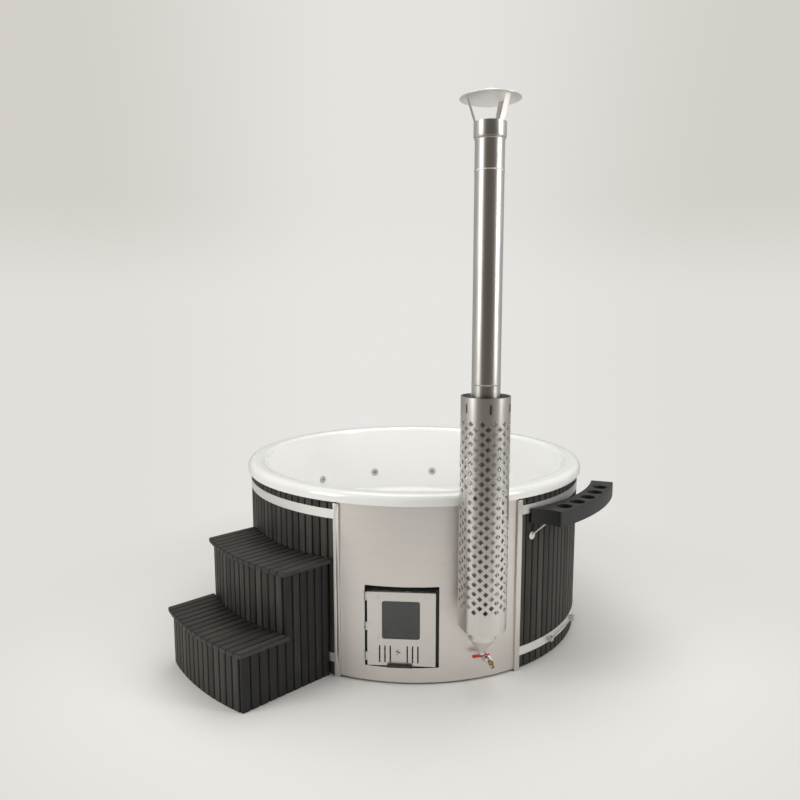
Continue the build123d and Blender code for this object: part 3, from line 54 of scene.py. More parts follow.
# ---- materials: shared effects first ----
def makeGroup(groupName, inputs, outputs):
    group = bpy.data.node_groups.new(groupName, "ShaderNodeTree")
    for socketName, socketType, value in inputs:
        socket = group.interface.new_socket(socketName, in_out="INPUT", socket_type=socketType)
        socket.default_value = value
    for socketName, socketType in outputs:
        group.interface.new_socket(socketName, in_out="OUTPUT", socket_type=socketType)
    start = group.nodes.new("NodeGroupInput")
    end = group.nodes.new("NodeGroupOutput")
    return group, start, end


def makeStreaks():
    # long thin streaks along the direction with the small scale
    group, start, end = makeGroup(
        "streaks",
        [("Place", "NodeSocketVector", (0, 0, 0)), ("Scale", "NodeSocketVector", (1, 1, 1)),
         ("Low", "NodeSocketFloat", 0.3), ("High", "NodeSocketFloat", 0.7)],
        [("Mask", "NodeSocketFloat")],
    )
    stretch = group.nodes.new("ShaderNodeVectorMath")
    stretch.operation = "MULTIPLY"
    noise = group.nodes.new("ShaderNodeTexNoise")
    noise.inputs["Scale"].default_value = 1.0
    noise.inputs["Detail"].default_value = 3.0
    ramp = group.nodes.new("ShaderNodeMapRange")
    links = group.links
    links.new(start.outputs["Place"], stretch.inputs[0])
    links.new(start.outputs["Scale"], stretch.inputs[1])
    links.new(stretch.outputs[0], noise.inputs["Vector"])
    links.new(noise.outputs["Fac"], ramp.inputs["Value"])
    links.new(start.outputs["Low"], ramp.inputs["From Min"])
    links.new(start.outputs["High"], ramp.inputs["From Max"])
    links.new(ramp.outputs["Result"], end.inputs["Mask"])
    return group


def makeClouding():
    # soft blotches, for slow changes of tone over a whole piece
    group, start, end = makeGroup(
        "clouding",
        [("Place", "NodeSocketVector", (0, 0, 0)), ("Scale", "NodeSocketFloat", 3.0)],
        [("Mask", "NodeSocketFloat")],
    )
    noise = group.nodes.new("ShaderNodeTexNoise")
    noise.inputs["Detail"].default_value = 2.0
    ramp = group.nodes.new("ShaderNodeMapRange")
    ramp.inputs["From Min"].default_value = 0.3
    ramp.inputs["From Max"].default_value = 0.7
    group.links.new(start.outputs["Place"], noise.inputs["Vector"])
    group.links.new(start.outputs["Scale"], noise.inputs["Scale"])
    group.links.new(noise.outputs["Fac"], ramp.inputs["Value"])
    group.links.new(ramp.outputs["Result"], end.inputs["Mask"])
    return group


streaksGroup = makeStreaks()
cloudingGroup = makeClouding()

# Per finish: two tones, roughness range, streak scale along X, Y, Z, turn about Z, bump, clouding scale, and for
# polished metal a painted dark reflection where it faces the viewer
finishes = {
    "white_acrylic": {
        "tones": ((0.875, 0.875, 0.86), (0.90, 0.90, 0.885)), "rough": (0.10, 0.16),
        "scale": (6, 6, 6), "bump": 0.0, "cloud": 1.5, "coat": 0.4,
    },
    "structural_timber": {
        "tones": ((0.40, 0.27, 0.15), (0.55, 0.40, 0.24)), "rough": (0.55, 0.75),
        "scale": (4, 90, 90), "bump": 0.3, "cloud": 2.0,
    },
    "dark_cladding": {
        "tones": ((0.0045, 0.004, 0.003), (0.056, 0.051, 0.040)), "rough": (0.5, 0.8),
        "scale": (120, 120, 2.5), "bump": 0.8, "cloud": 9.0, "contrast": (0.36, 0.64),
    },
    "dark_treads": {
        "tones": ((0.0065, 0.006, 0.0045), (0.052, 0.047, 0.038)), "rough": (0.5, 0.75),
        "scale": (120, 2.5, 120), "bump": 0.8, "cloud": 8.0, "turn": tub["stepBearing"], "contrast": (0.36, 0.64),
    },
    "satin_stainless": {
        "tones": ((0.62, 0.60, 0.565), (0.72, 0.70, 0.665)), "rough": (0.28, 0.42),
        "scale": (10, 10, 260), "bump": 0.04, "cloud": 3.0, "metal": 1.0,
    },
    "brushed_stainless": {
        "tones": ((0.665, 0.628, 0.60), (0.755, 0.718, 0.69)), "rough": (0.34, 0.46),
        "scale": (5, 5, 420), "bump": 0.03, "cloud": 2.0, "metal": 1.0, "anisotropic": 0.5,
    },
    "door_stainless": {
        "tones": ((0.64, 0.62, 0.59), (0.73, 0.71, 0.68)), "rough": (0.30, 0.42),
        "scale": (8, 8, 420), "bump": 0.03, "cloud": 5.0, "metal": 1.0,
    },
    "guard_stainless": {
        "tones": ((0.60, 0.58, 0.55), (0.72, 0.70, 0.67)), "rough": (0.25, 0.40),
        "scale": (320, 320, 6), "bump": 0.03, "cloud": 4.0, "metal": 1.0,
        "facing": {"tone": (0.33, 0.305, 0.275), "low": 0.0, "high": 0.22, "foot": 0.35, "full": 1.15},
    },
    "polished_stainless": {
        "tones": ((0.70, 0.68, 0.65), (0.82, 0.80, 0.77)), "rough": (0.30, 0.40),
        "scale": (300, 300, 4), "bump": 0.02, "cloud": 3.0, "metal": 1.0,
        "facing": {"tone": (0.225, 0.20, 0.175), "low": 0.0, "high": 0.33},
    },
    # band_steel and cap_steel are paler copies of the stainless, as painted reflection
    "band_steel": {
        "tones": ((0.78, 0.765, 0.74), (0.87, 0.855, 0.83)), "rough": (0.36, 0.48),
        "scale": (10, 10, 260), "bump": 0.03, "cloud": 3.0, "metal": 0.75,
    },
    "cap_steel": {
        "tones": ((0.76, 0.75, 0.73), (0.84, 0.83, 0.81)), "rough": (0.36, 0.48),
        "scale": (40, 40, 40), "bump": 0.03, "cloud": 4.0, "metal": 0.6,
    },
    "stove_steel": {
        "tones": ((0.05, 0.05, 0.05), (0.11, 0.11, 0.105)), "rough": (0.45, 0.65),
        "scale": (30, 30, 30), "bump": 0.1, "cloud": 5.0, "metal": 0.6,
    },
    "black_steel": {
        "tones": ((0.012, 0.012, 0.012), (0.03, 0.03, 0.03)), "rough": (0.35, 0.55),
        "scale": (60, 60, 60), "bump": 0.08, "cloud": 8.0,
    },
    "cast_iron": {
        "tones": ((0.02, 0.02, 0.02), (0.06, 0.058, 0.055)), "rough": (0.6, 0.85),
        "scale": (120, 120, 120), "bump": 0.5, "cloud": 9.0,
    },
    "stove_glass": {
        "tones": ((0.028, 0.031, 0.029), (0.045, 0.048, 0.045)), "rough": (0.05, 0.12),
        "scale": (12, 12, 12), "bump": 0.0, "cloud": 4.0, "coat": 0.6,
    },
    "woven_seal": {
        "tones": ((0.16, 0.15, 0.14), (0.32, 0.31, 0.29)), "rough": (0.8, 0.95),
        "scale": (220, 220, 220), "bump": 0.8, "cloud": 10.0,
    },
    "valve_chrome": {
        "tones": ((0.66, 0.66, 0.66), (0.76, 0.76, 0.76)), "rough": (0.10, 0.2),
        "scale": (50, 50, 50), "bump": 0.02, "cloud": 20.0, "metal": 1.0,
    },
    "valve_brass": {
        "tones": ((0.30, 0.21, 0.10), (0.42, 0.30, 0.15)), "rough": (0.22, 0.36),
        "scale": (60, 60, 60), "bump": 0.03, "cloud": 20.0, "metal": 1.0,
    },
    "red_coating": {
        "tones": ((0.38, 0.012, 0.010), (0.52, 0.022, 0.018)), "rough": (0.3, 0.45),
        "scale": (90, 90, 90), "bump": 0.1, "cloud": 25.0,
    },
    "white_plastic": {
        "tones": ((0.68, 0.68, 0.66), (0.76, 0.76, 0.74)), "rough": (0.2, 0.35),
        "scale": (60, 60, 60), "bump": 0.03, "cloud": 12.0,
    },
    "nozzle_plastic": {
        "tones": ((0.36, 0.36, 0.35), (0.50, 0.50, 0.48)), "rough": (0.25, 0.4),
        "scale": (90, 90, 90), "bump": 0.03, "cloud": 20.0,
    },
    "grey_plastic": {
        "tones": ((0.15, 0.16, 0.17), (0.20, 0.21, 0.22)), "rough": (0.4, 0.55),
        "scale": (40, 40, 40), "bump": 0.05, "cloud": 8.0,
    },
    "black_plastic": {
        "tones": ((0.012, 0.012, 0.012), (0.025, 0.025, 0.025)), "rough": (0.4, 0.6),
        "scale": (70, 70, 70), "bump": 0.15, "cloud": 8.0,
    },
    "shelf_plastic": {
        "tones": ((0.011, 0.011, 0.0105), (0.023, 0.0225, 0.021)), "rough": (0.42, 0.6),
        "scale": (150, 150, 150), "bump": 0.25, "cloud": 9.0,
    },
}


def makeFinish(slotName, finish):
    material = bpy.data.materials.new(slotName + "_look")
    material.use_nodes = True
    nodes, links = material.node_tree.nodes, material.node_tree.links
    shader = nodes["Principled BSDF"]
    shader.inputs["Metallic"].default_value = finish.get("metal", 0.0)
    shader.inputs["Coat Weight"].default_value = finish.get("coat", 0.0)
    shader.inputs["Coat Roughness"].default_value = 0.06
    shader.inputs["Anisotropic"].default_value = finish.get("anisotropic", 0.0)
    coordinates = nodes.new("ShaderNodeTexCoord")
    turn = nodes.new("ShaderNodeMapping")
    turn.inputs["Rotation"].default_value[2] = -math.radians(finish.get("turn", 0.0))
    streaks = nodes.new("ShaderNodeGroup")
    streaks.node_tree = streaksGroup
    streaks.inputs["Scale"].default_value = finish["scale"]
    streaks.inputs["Low"].default_value, streaks.inputs["High"].default_value = finish.get("contrast", (0.3, 0.7))
    clouding = nodes.new("ShaderNodeGroup")
    clouding.node_tree = cloudingGroup
    clouding.inputs["Scale"].default_value = finish["cloud"]
    blend = nodes.new("ShaderNodeMath")
    blend.operation = "MULTIPLY_ADD"
    blend.inputs[1].default_value = 0.6
    # per-face tone of the planks, which holds their painted groove shade too
    board = nodes.new("ShaderNodeAttribute")
    board.attribute_name = "boardToneAndShade"
    lighter = nodes.new("ShaderNodeMath")
    lighter.operation = "ADD"
    lighter.use_clamp = True
    share = nodes.new("ShaderNodeMath")
    share.operation = "MULTIPLY"
    share.inputs[1].default_value = 0.4
    tones = nodes.new("ShaderNodeMix")
    tones.data_type = "RGBA"
    tones.inputs["A"].default_value = (*finish["tones"][0], 1)
    tones.inputs["B"].default_value = (*finish["tones"][1], 1)
    roughness = nodes.new("ShaderNodeMapRange")
    roughness.inputs["To Min"].default_value, roughness.inputs["To Max"].default_value = finish["rough"]
    links.new(coordinates.outputs["Object"], turn.inputs["Vector"])
    links.new(turn.outputs["Vector"], streaks.inputs["Place"])
    links.new(turn.outputs["Vector"], clouding.inputs["Place"])
    links.new(clouding.outputs["Mask"], share.inputs[0])
    links.new(streaks.outputs["Mask"], blend.inputs[0])
    links.new(share.outputs[0], blend.inputs[2])
    links.new(blend.outputs[0], lighter.inputs[0])
    links.new(board.outputs["Fac"], lighter.inputs[1])
    links.new(lighter.outputs[0], tones.inputs["Factor"])
    links.new(tones.outputs["Result"], shader.inputs["Base Color"])
    if "facing" in finish:
        # painted reflection: polished metal turned to the viewer is darkened, standing for the dark side of the room
        # it mirrors
        angle = nodes.new("ShaderNodeLayerWeight")
        angle.inputs["Blend"].default_value = 0.5
        turnedAway = nodes.new("ShaderNodeMapRange")
        turnedAway.interpolation_type = "SMOOTHSTEP"
        turnedAway.inputs["From Min"].default_value = finish["facing"]["low"]
        turnedAway.inputs["From Max"].default_value = finish["facing"]["high"]
        paintedReflectionMix = nodes.new("ShaderNodeMix")
        paintedReflectionMix.data_type = "RGBA"
        paintedReflectionMix.inputs["A"].default_value = (*finish["facing"]["tone"], 1)
        # near the floor the painted dark reflection fades back to the plain tones
        heights = nodes.new("ShaderNodeSeparateXYZ")
        paleFoot = nodes.new("ShaderNodeMapRange")
        paleFoot.interpolation_type = "SMOOTHSTEP"
        paleFoot.inputs["From Min"].default_value = finish["facing"].get("full", 0.0)
        paleFoot.inputs["From Max"].default_value = finish["facing"].get("foot", -1.0)
        either = nodes.new("ShaderNodeMath")
        either.operation = "MAXIMUM"
        links.new(coordinates.outputs["Object"], heights.inputs[0])
        links.new(heights.outputs["Z"], paleFoot.inputs["Value"])
        links.new(angle.outputs["Facing"], turnedAway.inputs["Value"])
        links.new(turnedAway.outputs["Result"], either.inputs[0])
        links.new(paleFoot.outputs["Result"], either.inputs[1])
        links.new(either.outputs[0], paintedReflectionMix.inputs["Factor"])
        links.new(tones.outputs["Result"], paintedReflectionMix.inputs["B"])
        links.new(paintedReflectionMix.outputs["Result"], shader.inputs["Base Color"])
    links.new(blend.outputs[0], roughness.inputs["Value"])
    links.new(roughness.outputs["Result"], shader.inputs["Roughness"])
    if finish["bump"] > 0:
        bump = nodes.new("ShaderNodeBump")
        bump.inputs["Strength"].default_value = finish["bump"]
        bump.inputs["Distance"].default_value = 0.0006
        links.new(streaks.outputs["Mask"], bump.inputs["Height"])
        links.new(bump.outputs["Normal"], shader.inputs["Normal"])
    return material


looks = {slotName: makeFinish(slotName, finish) for slotName, finish in finishes.items()}
slotOfNode = {part["node"]: part["material_slot"] for part in frame["record"]["subparts"]}
# painted reflection: these pieces get another finish than their slot, paler or darker, standing for the part of the
# room they mirror
lookOfNode = {
    **slotOfNode, "top_band": "band_steel", "bottom_band": "band_steel", "rain_cap": "cap_steel",
    "cap_collar": "polished_stainless",
}
bodyOfNode = {
    node: body for body, members in frame["record"]["behaviour"]["bodies"].items() for node in members
}
for nodeName, cadNode in cadNodes.items():
    cadNode.data.materials.clear()
    cadNode.data.materials.append(looks[lookOfNode[nodeName]])
print("materials made", len(looks))


# ---- shared ways of making a piece ----
def deselectAll():
    if bpy.context.object and bpy.context.object.mode != "OBJECT":
        bpy.ops.object.mode_set(mode="OBJECT")
    bpy.ops.object.select_all(action="DESELECT")


def pickOnly(piece):
    deselectAll()
    piece.select_set(True)
    bpy.context.view_layer.objects.active = piece


def settle(piece, pieceName, nodeName, *replaced, look=None):
    # puts the finished piece on the body of the node it dresses
    pickOnly(piece)
    bpy.ops.object.transform_apply(location=True, rotation=True, scale=True)
    piece.name = pieceName
    piece.data.name = pieceName
    piece.data.materials.clear()
    piece.data.materials.append(looks[look or lookOfNode[nodeName]])
    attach(piece, bodyOfNode[nodeName])
    if replaced:
        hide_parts(*replaced)
    return piece


def smoothOver(nodeName, bevel=0.0, segments=2, smoothAngle=35.0):
    # a clean, welded copy of a node, with softened edges
    mesh = cadNodes[nodeName].data.copy()
    piece = bpy.data.objects.new(nodeName + "_smooth", mesh)
    bpy.context.scene.collection.objects.link(piece)
    pickOnly(piece)
    bpy.ops.object.mode_set(mode="EDIT")
    bpy.ops.mesh.select_all(action="SELECT")
    bpy.ops.mesh.remove_doubles(threshold=0.00002)
    if bevel > 0:
        bpy.ops.mesh.dissolve_limited(angle_limit=math.radians(2.0))
    bpy.ops.object.mode_set(mode="OBJECT")
    if mesh.has_custom_normals:
        bpy.ops.mesh.customdata_custom_splitnormals_clear()
    if bevel > 0:
        edge = piece.modifiers.new("edges", "BEVEL")
        edge.width = bevel
        edge.segments = segments
        edge.limit_method = "ANGLE"
        edge.angle_limit = math.radians(40.0)
        bpy.ops.object.modifier_apply(modifier="edges")
    bpy.ops.object.shade_smooth_by_angle(angle=math.radians(smoothAngle))
    return settle(piece, nodeName + "_smooth", nodeName, nodeName)


smoothNodes = {
    "acrylic_shell": 0.0, "front_panel": 0.0, "left_trim": 0.001, "right_trim": 0.001,
    "top_band": 0.0, "bottom_band": 0.0, "band_lugs": 0.001, "band_ties": 0.0, "trim_screws": 0.0006,
    "chimney_lower": 0.0, "chimney_middle": 0.0, "chimney_upper": 0.0, "flue_tee": 0.0,
    "soot_cone": 0.0, "cap_collar": 0.0, "cap_straps": 0.0, "rain_cap": 0.0, "heat_guard": 0.0,
    "door_plate": 0.0, "door_glass": 0.0012, "door_screws": 0.0006, "door_pull": 0.002,
    "door_knuckles": 0.0, "frame_knuckles": 0.0, "hinge_pins": 0.0004,
    "valve_body": 0.001, "valve_ball": 0.0, "valve_lever": 0.001, "valve_outlet": 0.0008,
    "air_nozzles": 0.0015, "drain_fitting": 0.0, "drain_grille": 0.0005, "flue_spigot": 0.0,
    "cup_holder": 0.0, "cup_holder_struts": 0.0008,
}
for nodeName, bevel in smoothNodes.items():
    smoothOver(nodeName, bevel)
print("smooth pieces made", len(smoothNodes))


# ---- planks of the cladding and the steps ----
def makePlank(size, edge):
    deselectAll()
    bpy.ops.mesh.primitive_cube_add(size=1.0, location=(0, 0, 0))
    plank = bpy.context.object
    plank.scale = size
    plank.location[2] = size[2] / 2
    bpy.ops.object.transform_apply(location=True, rotation=True, scale=True)
    bpy.ops.object.mode_set(mode="EDIT")
    bpy.ops.mesh.select_all(action="SELECT")
    bpy.ops.mesh.bevel(offset=edge, segments=3, affect="EDGES")
    bpy.ops.object.mode_set(mode="OBJECT")
    bpy.ops.object.shade_smooth_by_angle(angle=math.radians(35.0))
    return plank


def toneAndShadeFaces(piece, shade, paintedGrooveShade=-0.75):
    # painted shade: the rounded edges are darker than the flat faces, standing for the shade in the grooves between
    # planks
    mesh = piece.data
    tone = mesh.attributes.new("boardToneAndShade", "FLOAT", "FACE")
    flat = [max(abs(value) for value in face.normal) > 0.995 for face in mesh.polygons]
    tone.data.foreach_set("value", [shade if isFlat else paintedGrooveShade for isFlat in flat])


def layPlanks(pattern, pieceName, nodeName, places, paintedShade=0.0):
    # every copy has its own mesh and its own tone, plus a painted shade that darkens the whole set where it is given
    for number, (place, bearing) in enumerate(places):
        plank = pattern.copy()
        plank.data = pattern.data.copy()
        bpy.context.scene.collection.objects.link(plank)
        plank.location = place
        plank.rotation_euler[2] = math.radians(bearing)
        toneAndShadeFaces(plank, paintedShade + 0.32 * math.sin(12.9898 * (number + 1)) * math.cos(4.1414 * number))
        settle(plank, f"{pieceName}_{number + 1}", nodeName, nodeName)
    bpy.data.objects.remove(pattern)


cladding = {"face": 0.998, "thick": 0.018, "gap": 0.003, "count": 110, "start": 28.1, "foot": 0.005, "top": 0.935}
claddingStep = (360.0 - 2 * cladding["start"]) / cladding["count"]
claddingWidth = 2 * cladding["face"] * math.tan(math.radians(claddingStep / 2)) - cladding["gap"]
layPlanks(
    makePlank((claddingWidth, cladding["thick"], cladding["top"] - cladding["foot"]), 0.0055),
    "cladding_plank", "cladding_slats",
    [(spot(cladding["face"] - cladding["thick"] / 2, bearing, cladding["foot"]), bearing)
     for bearing in [cladding["start"] + (k + 0.5) * claddingStep for k in range(cladding["count"])]],
)
print("cladding planks laid")

# the side planks of the steps are darkened by a painted shade
steps = {
    "lowerFace": 1.507, "upperFace": 1.263, "inner": 0.325, "side": 0.343, "thick": 0.018, "gap": 0.003,
    "risers": 14, "lowerTop": 0.285, "upperTop": 0.610, "tubReach": 1.003,
    "frontSides": 5, "rearSides": 6, "edge": 0.0055, "sidePaintedShade": -0.55,
}


def layRiser(face, foot, top, pieceName):
    half = math.asin(steps["inner"] / face)
    turn = 2 * half / steps["risers"]
    width = 2 * face * math.tan(half / steps["risers"]) - steps["gap"]
    first = math.radians(tub["stepBearing"]) - half + turn / 2
    bearings = [math.degrees(first + k * turn) for k in range(steps["risers"])]
    layPlanks(
        makePlank((width, steps["thick"], top - foot), steps["edge"]), pieceName, "step_risers",
        [(spot(face - steps["thick"] / 2, bearing, foot), bearing) for bearing in bearings],
    )


def laySide(near, far, count, top, pieceName):
    pitch = (far - near + steps["gap"]) / count
    turn = math.radians(tub["stepBearing"])
    across, out = Vector((math.cos(turn), math.sin(turn), 0)), Vector((math.sin(turn), -math.cos(turn), 0))
    places = []
    for hand in (-1, 1):
        for k in range(count):
            reach = (near + far) / 2 + (k - (count - 1) / 2) * pitch
            place = across * hand * (steps["side"] - steps["thick"] / 2) + out * reach
            places.append((place, tub["stepBearing"]))
    layPlanks(
        makePlank((steps["thick"], pitch - steps["gap"], top), steps["edge"]), pieceName, "step_sides", places,
        steps["sidePaintedShade"],
    )


frontEnd = math.sqrt(steps["lowerFace"] ** 2 - steps["side"] ** 2)
middleEnd = math.sqrt(steps["upperFace"] ** 2 - steps["side"] ** 2)
backEnd = math.sqrt(steps["tubReach"] ** 2 - steps["inner"] ** 2)
layRiser(steps["lowerFace"], 0.0, steps["lowerTop"], "lower_riser_plank")
layRiser(steps["upperFace"], steps["lowerTop"], steps["upperTop"], "upper_riser_plank")
laySide(middleEnd + steps["gap"], frontEnd, steps["frontSides"], steps["lowerTop"], "front_side_plank")
laySide(backEnd, middleEnd, steps["rearSides"], steps["upperTop"], "rear_side_plank")
treads = smoothOver("step_treads", 0.005)
# painted shade: the sloping rounded edges of the treads are darker, standing for the shade in the grooves between
# boards
treadGrooveShade = treads.data.attributes.new("boardToneAndShade", "FLOAT", "FACE")
treadGrooveShade.data.foreach_set(
    "value", [-0.75 if 0.1 < face.normal.z < 0.97 else 0.0 for face in treads.data.polygons]
)
print("step planks laid")


# ---- knob of the air slide: a dished button with two dark dots, one above the other, as painted shade ----
knob = {"dish": 0.0016, "border": 0.0022, "edge": 0.0009, "dotRadius": 0.0027, "dotRise": 0.0045, "dotDepth": 0.0012}


def standOut(piece, place):
    # turns the piece's +Z outwards along the stove's bearing
    piece.rotation_euler = spot(1.0, tub["stoveBearing"]).to_track_quat("Z", "Y").to_euler()
    piece.location = place


def makeKnob():
    out, up = spot(1.0, tub["stoveBearing"]), Vector((0, 0, 1))
    across = up.cross(out)
    corners = [vertex.co for vertex in cadNodes["slider_knob"].data.vertices]
    spans = [(min(corner.dot(way) for corner in corners), max(corner.dot(way) for corner in corners))
             for way in (out, across, up)]
    middle = across * sum(spans[1]) / 2 + up * sum(spans[2]) / 2
    depth = spans[0][1] - spans[0][0]
    deselectAll()
    bpy.ops.mesh.primitive_cylinder_add(vertices=48, radius=(spans[2][1] - spans[2][0]) / 2, depth=depth)
    button = bpy.context.object
    bpy.ops.object.mode_set(mode="EDIT")
    bpy.ops.mesh.select_all(action="DESELECT")
    bpy.ops.object.mode_set(mode="OBJECT")
    for face in button.data.polygons:
        face.select = face.normal.z > 0.9
    bpy.ops.object.mode_set(mode="EDIT")
    bpy.ops.mesh.inset(thickness=knob["border"])
    bpy.ops.transform.translate(value=(0, 0, -knob["dish"]))
    bpy.ops.object.mode_set(mode="OBJECT")
    edge = button.modifiers.new("edges", "BEVEL")
    edge.width = knob["edge"]
    edge.segments = 3
    edge.limit_method = "ANGLE"
    edge.angle_limit = math.radians(40.0)
    bpy.ops.object.modifier_apply(modifier="edges")
    bpy.ops.object.shade_smooth_by_angle(angle=math.radians(35.0))
    standOut(button, middle + out * (spans[0][0] + depth / 2))
    settle(button, "slider_knob_button", "slider_knob", "slider_knob")
    # painted shade: two black discs stand for the dark shading seen on the knob
    for dotName, rise in (("upper", knob["dotRise"]), ("lower", -knob["dotRise"])):
        deselectAll()
        bpy.ops.mesh.primitive_cylinder_add(vertices=24, radius=knob["dotRadius"], depth=knob["dotDepth"])
        dot = bpy.context.object
        bpy.ops.object.mode_set(mode="EDIT")
        bpy.ops.mesh.select_all(action="SELECT")
        bpy.ops.mesh.bevel(offset=knob["dotDepth"] / 4, segments=2, affect="EDGES")
        bpy.ops.object.mode_set(mode="OBJECT")
        bpy.ops.object.shade_smooth_by_angle(angle=math.radians(35.0))
        standOut(dot, middle + up * rise + out * (spans[0][1] - knob["dish"] + knob["dotDepth"] / 4))
        settle(dot, f"slider_knob_{dotName}_shade_dot", "slider_knob", look="black_steel")


makeKnob()
print("knob made")


# ---- floor, backdrop and light ----
studio = {
    "floorTone": (0.80, 0.795, 0.775), "nearEdge": 1.3, "farEdge": 2.75,
    "worldTone": (0.80, 0.80, 0.78), "worldStrength": 0.47,
    "eye": (-0.3794, -4.3364, 1.908), "middleTone": (0.775, 0.765, 0.735), "sideTone": (0.65, 0.628, 0.582),
    "horizonLift": 0.03,
}


def makeBackdrop():
    # a pale backdrop with painted light: paler in the middle and towards the floor, darker at the sides
    group, start, end = makeGroup("backdrop", [("Way", "NodeSocketVector", (0, 1, 0))], [("Tone", "NodeSocketColor")])
    links = group.links
    split = group.nodes.new("ShaderNodeSeparateXYZ")
    aside = group.nodes.new("ShaderNodeMath")
    aside.operation = "ADD"
    aside.inputs[1].default_value = -0.068
    width = group.nodes.new("ShaderNodeMath")
    width.operation = "ABSOLUTE"
    edge = group.nodes.new("ShaderNodeMapRange")
    edge.interpolation_type = "SMOOTHSTEP"
    edge.inputs["From Min"].default_value = 0.05
    edge.inputs["From Max"].default_value = 0.42
    lift = group.nodes.new("ShaderNodeMapRange")
    lift.interpolation_type = "SMOOTHSTEP"
    lift.inputs["From Min"].default_value = 0.15
    lift.inputs["From Max"].default_value = 0.0
    ease = group.nodes.new("ShaderNodeMath")
    ease.operation = "MULTIPLY_ADD"
    ease.inputs[1].default_value = -0.62
    ease.inputs[2].default_value = 1.0
    narrow = group.nodes.new("ShaderNodeMath")
    narrow.operation = "MULTIPLY"
    mix = group.nodes.new("ShaderNodeMix")
    mix.data_type = "RGBA"
    mix.inputs["A"].default_value = (*studio["middleTone"], 1)
    mix.inputs["B"].default_value = (*studio["sideTone"], 1)
    brighter = group.nodes.new("ShaderNodeMath")
    brighter.operation = "MULTIPLY_ADD"
    brighter.inputs[1].default_value = studio["horizonLift"]
    brighter.inputs[2].default_value = 1.0
    scaled = group.nodes.new("ShaderNodeVectorMath")
    scaled.operation = "SCALE"
    links.new(start.outputs["Way"], split.inputs[0])
    links.new(split.outputs["X"], aside.inputs[0])
    links.new(aside.outputs[0], width.inputs[0])
    links.new(width.outputs[0], edge.inputs["Value"])
    links.new(split.outputs["Z"], lift.inputs["Value"])
    links.new(lift.outputs["Result"], ease.inputs[0])
    links.new(edge.outputs["Result"], narrow.inputs[0])
    links.new(ease.outputs[0], narrow.inputs[1])
    links.new(narrow.outputs[0], mix.inputs["Factor"])
    links.new(lift.outputs["Result"], brighter.inputs[0])
    links.new(mix.outputs["Result"], scaled.inputs[0])
    links.new(brighter.outputs[0], scaled.inputs["Scale"])
    links.new(scaled.outputs[0], end.inputs["Tone"])
    return group


backdropGroup = makeBackdrop()


def makeFloor():
    bpy.ops.mesh.primitive_circle_add(vertices=96, radius=40.0, fill_type="NGON", location=(0, 0, 0))
    floor = bpy.context.object
    floor.name = "studio_floor"
    material = bpy.data.materials.new("studio_floor_look")
    material.use_nodes = True
    nodes, links = material.node_tree.nodes, material.node_tree.links
    shader = nodes["Principled BSDF"]
    shader.inputs["Base Color"].default_value = (*studio["floorTone"], 1)
    shader.inputs["Roughness"].default_value = 0.75
    shader.inputs["Specular IOR Level"].default_value = 0.2
    far = nodes.new("ShaderNodeEmission")
    coordinates = nodes.new("ShaderNodeTexCoord")
    fromEye = nodes.new("ShaderNodeVectorMath")
    fromEye.operation = "SUBTRACT"
    fromEye.inputs[1].default_value = studio["eye"]
    way = nodes.new("ShaderNodeVectorMath")
    way.operation = "NORMALIZE"
    backdrop = nodes.new("ShaderNodeGroup")
    backdrop.node_tree = backdropGroup
    links.new(coordinates.outputs["Object"], fromEye.inputs[0])
    links.new(fromEye.outputs[0], way.inputs[0])
    links.new(way.outputs[0], backdrop.inputs["Way"])
    links.new(backdrop.outputs["Tone"], far.inputs["Color"])
    length = nodes.new("ShaderNodeVectorMath")
    length.operation = "LENGTH"
    fade = nodes.new("ShaderNodeMapRange")
    fade.interpolation_type = "SMOOTHSTEP"
    fade.inputs["From Min"].default_value = studio["nearEdge"]
    fade.inputs["From Max"].default_value = studio["farEdge"]
    rays = nodes.new("ShaderNodeLightPath")
    seen = nodes.new("ShaderNodeMath")
    seen.operation = "MAXIMUM"
    both = nodes.new("ShaderNodeMath")
    both.operation = "MULTIPLY"
    mix = nodes.new("ShaderNodeMixShader")
    links.new(coordinates.outputs["Object"], length.inputs[0])
    links.new(length.outputs["Value"], fade.inputs["Value"])
    links.new(rays.outputs["Is Camera Ray"], seen.inputs[0])
    links.new(rays.outputs["Is Transmission Ray"], seen.inputs[1])
    links.new(seen.outputs[0], both.inputs[0])
    links.new(fade.outputs["Result"], both.inputs[1])
    links.new(both.outputs[0], mix.inputs["Fac"])
    links.new(shader.outputs["BSDF"], mix.inputs[1])
    links.new(far.outputs["Emission"], mix.inputs[2])
    links.new(mix.outputs["Shader"], nodes["Material Output"].inputs["Surface"])
    floor.data.materials.append(material)
    return floor


deselectAll()
makeFloor()

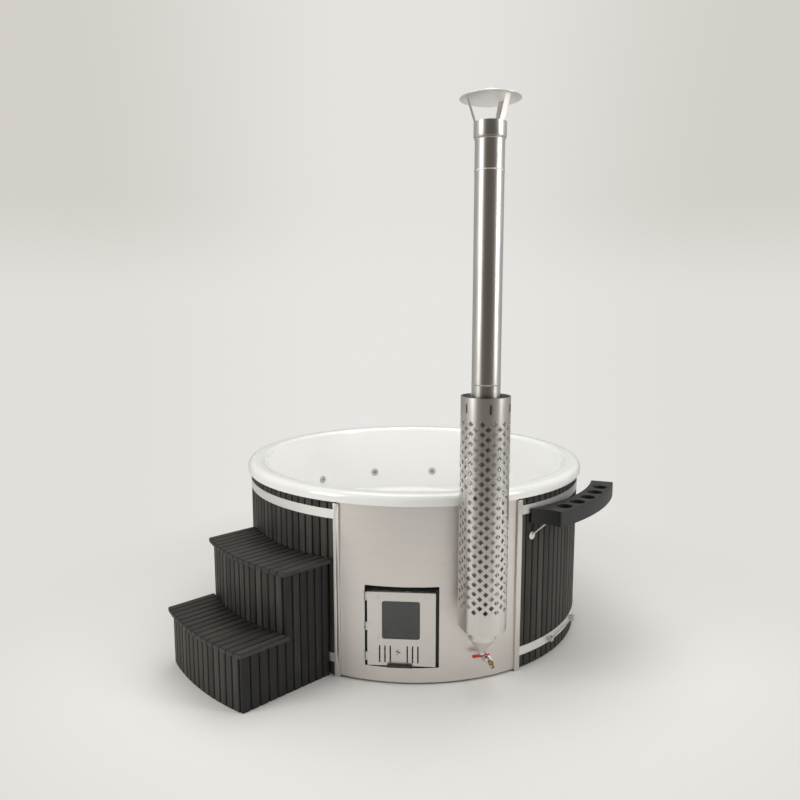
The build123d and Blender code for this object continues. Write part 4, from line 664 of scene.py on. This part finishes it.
world = bpy.data.worlds.new("studio_world")
bpy.context.scene.world = world
world.use_nodes = True
worldNodes, worldLinks = world.node_tree.nodes, world.node_tree.links
softSky = worldNodes["Background"]
softSky.inputs["Color"].default_value = (*studio["worldTone"], 1)
softSky.inputs["Strength"].default_value = studio["worldStrength"]
seenSky = worldNodes.new("ShaderNodeBackground")
skyWay = worldNodes.new("ShaderNodeTexCoord")
skyTone = worldNodes.new("ShaderNodeGroup")
skyTone.node_tree = backdropGroup
worldLinks.new(skyWay.outputs["Generated"], skyTone.inputs["Way"])
worldLinks.new(skyTone.outputs["Tone"], seenSky.inputs["Color"])
seenSky.inputs["Strength"].default_value = 1.0
skyRays = worldNodes.new("ShaderNodeLightPath")
skyMix = worldNodes.new("ShaderNodeMixShader")
worldLinks.new(skyRays.outputs["Is Camera Ray"], skyMix.inputs["Fac"])
worldLinks.new(softSky.outputs["Background"], skyMix.inputs[1])
worldLinks.new(seenSky.outputs["Background"], skyMix.inputs[2])
worldLinks.new(skyMix.outputs["Shader"], worldNodes["World Output"].inputs["Surface"])

lamps = {
    "left_softbox": {"place": (-4.2, -2.6, 2.6), "aim": (0.0, -0.3, 0.9), "size": (1.8, 3.2), "power": 98},
    "right_softbox": {"place": (4.0, -2.8, 2.8), "aim": (0.1, -0.4, 0.9), "size": (1.1, 3.2), "power": 86},
    "top_softbox": {"place": (0.3, 0.6, 5.6), "aim": (0.0, 0.0, 0.5), "size": (4.5, 4.5), "power": 158},
}
for lampName, lamp in lamps.items():
    light = bpy.data.lights.new(lampName, "AREA")
    light.shape = "RECTANGLE"
    light.size, light.size_y = lamp["size"]
    light.energy = lamp["power"]
    light.color = (1.0, 0.985, 0.96)
    holder = bpy.data.objects.new(lampName, light)
    bpy.context.scene.collection.objects.link(holder)
    holder.location = lamp["place"]
    holder.rotation_euler = (Vector(lamp["aim"]) - Vector(lamp["place"])).to_track_quat("-Z", "Y").to_euler()
print("studio made")

# ---- camera at the photograph's place ----
cameraView = {"place": (-0.3794, -4.3364, 1.908), "tilt": 82.34, "turn": -3.88, "lens": 31.76}
cameraData = bpy.data.cameras.new("photo_camera")
cameraData.sensor_width = 36.0
cameraData.lens = cameraView["lens"]
camera = bpy.data.objects.new("photo_camera", cameraData)
bpy.context.scene.collection.objects.link(camera)
camera.location = cameraView["place"]
camera.rotation_euler = (math.radians(cameraView["tilt"]), 0.0, math.radians(cameraView["turn"]))
bpy.context.scene.camera = camera
bpy.context.scene.view_settings.view_transform = "Standard"

print("scene finished")
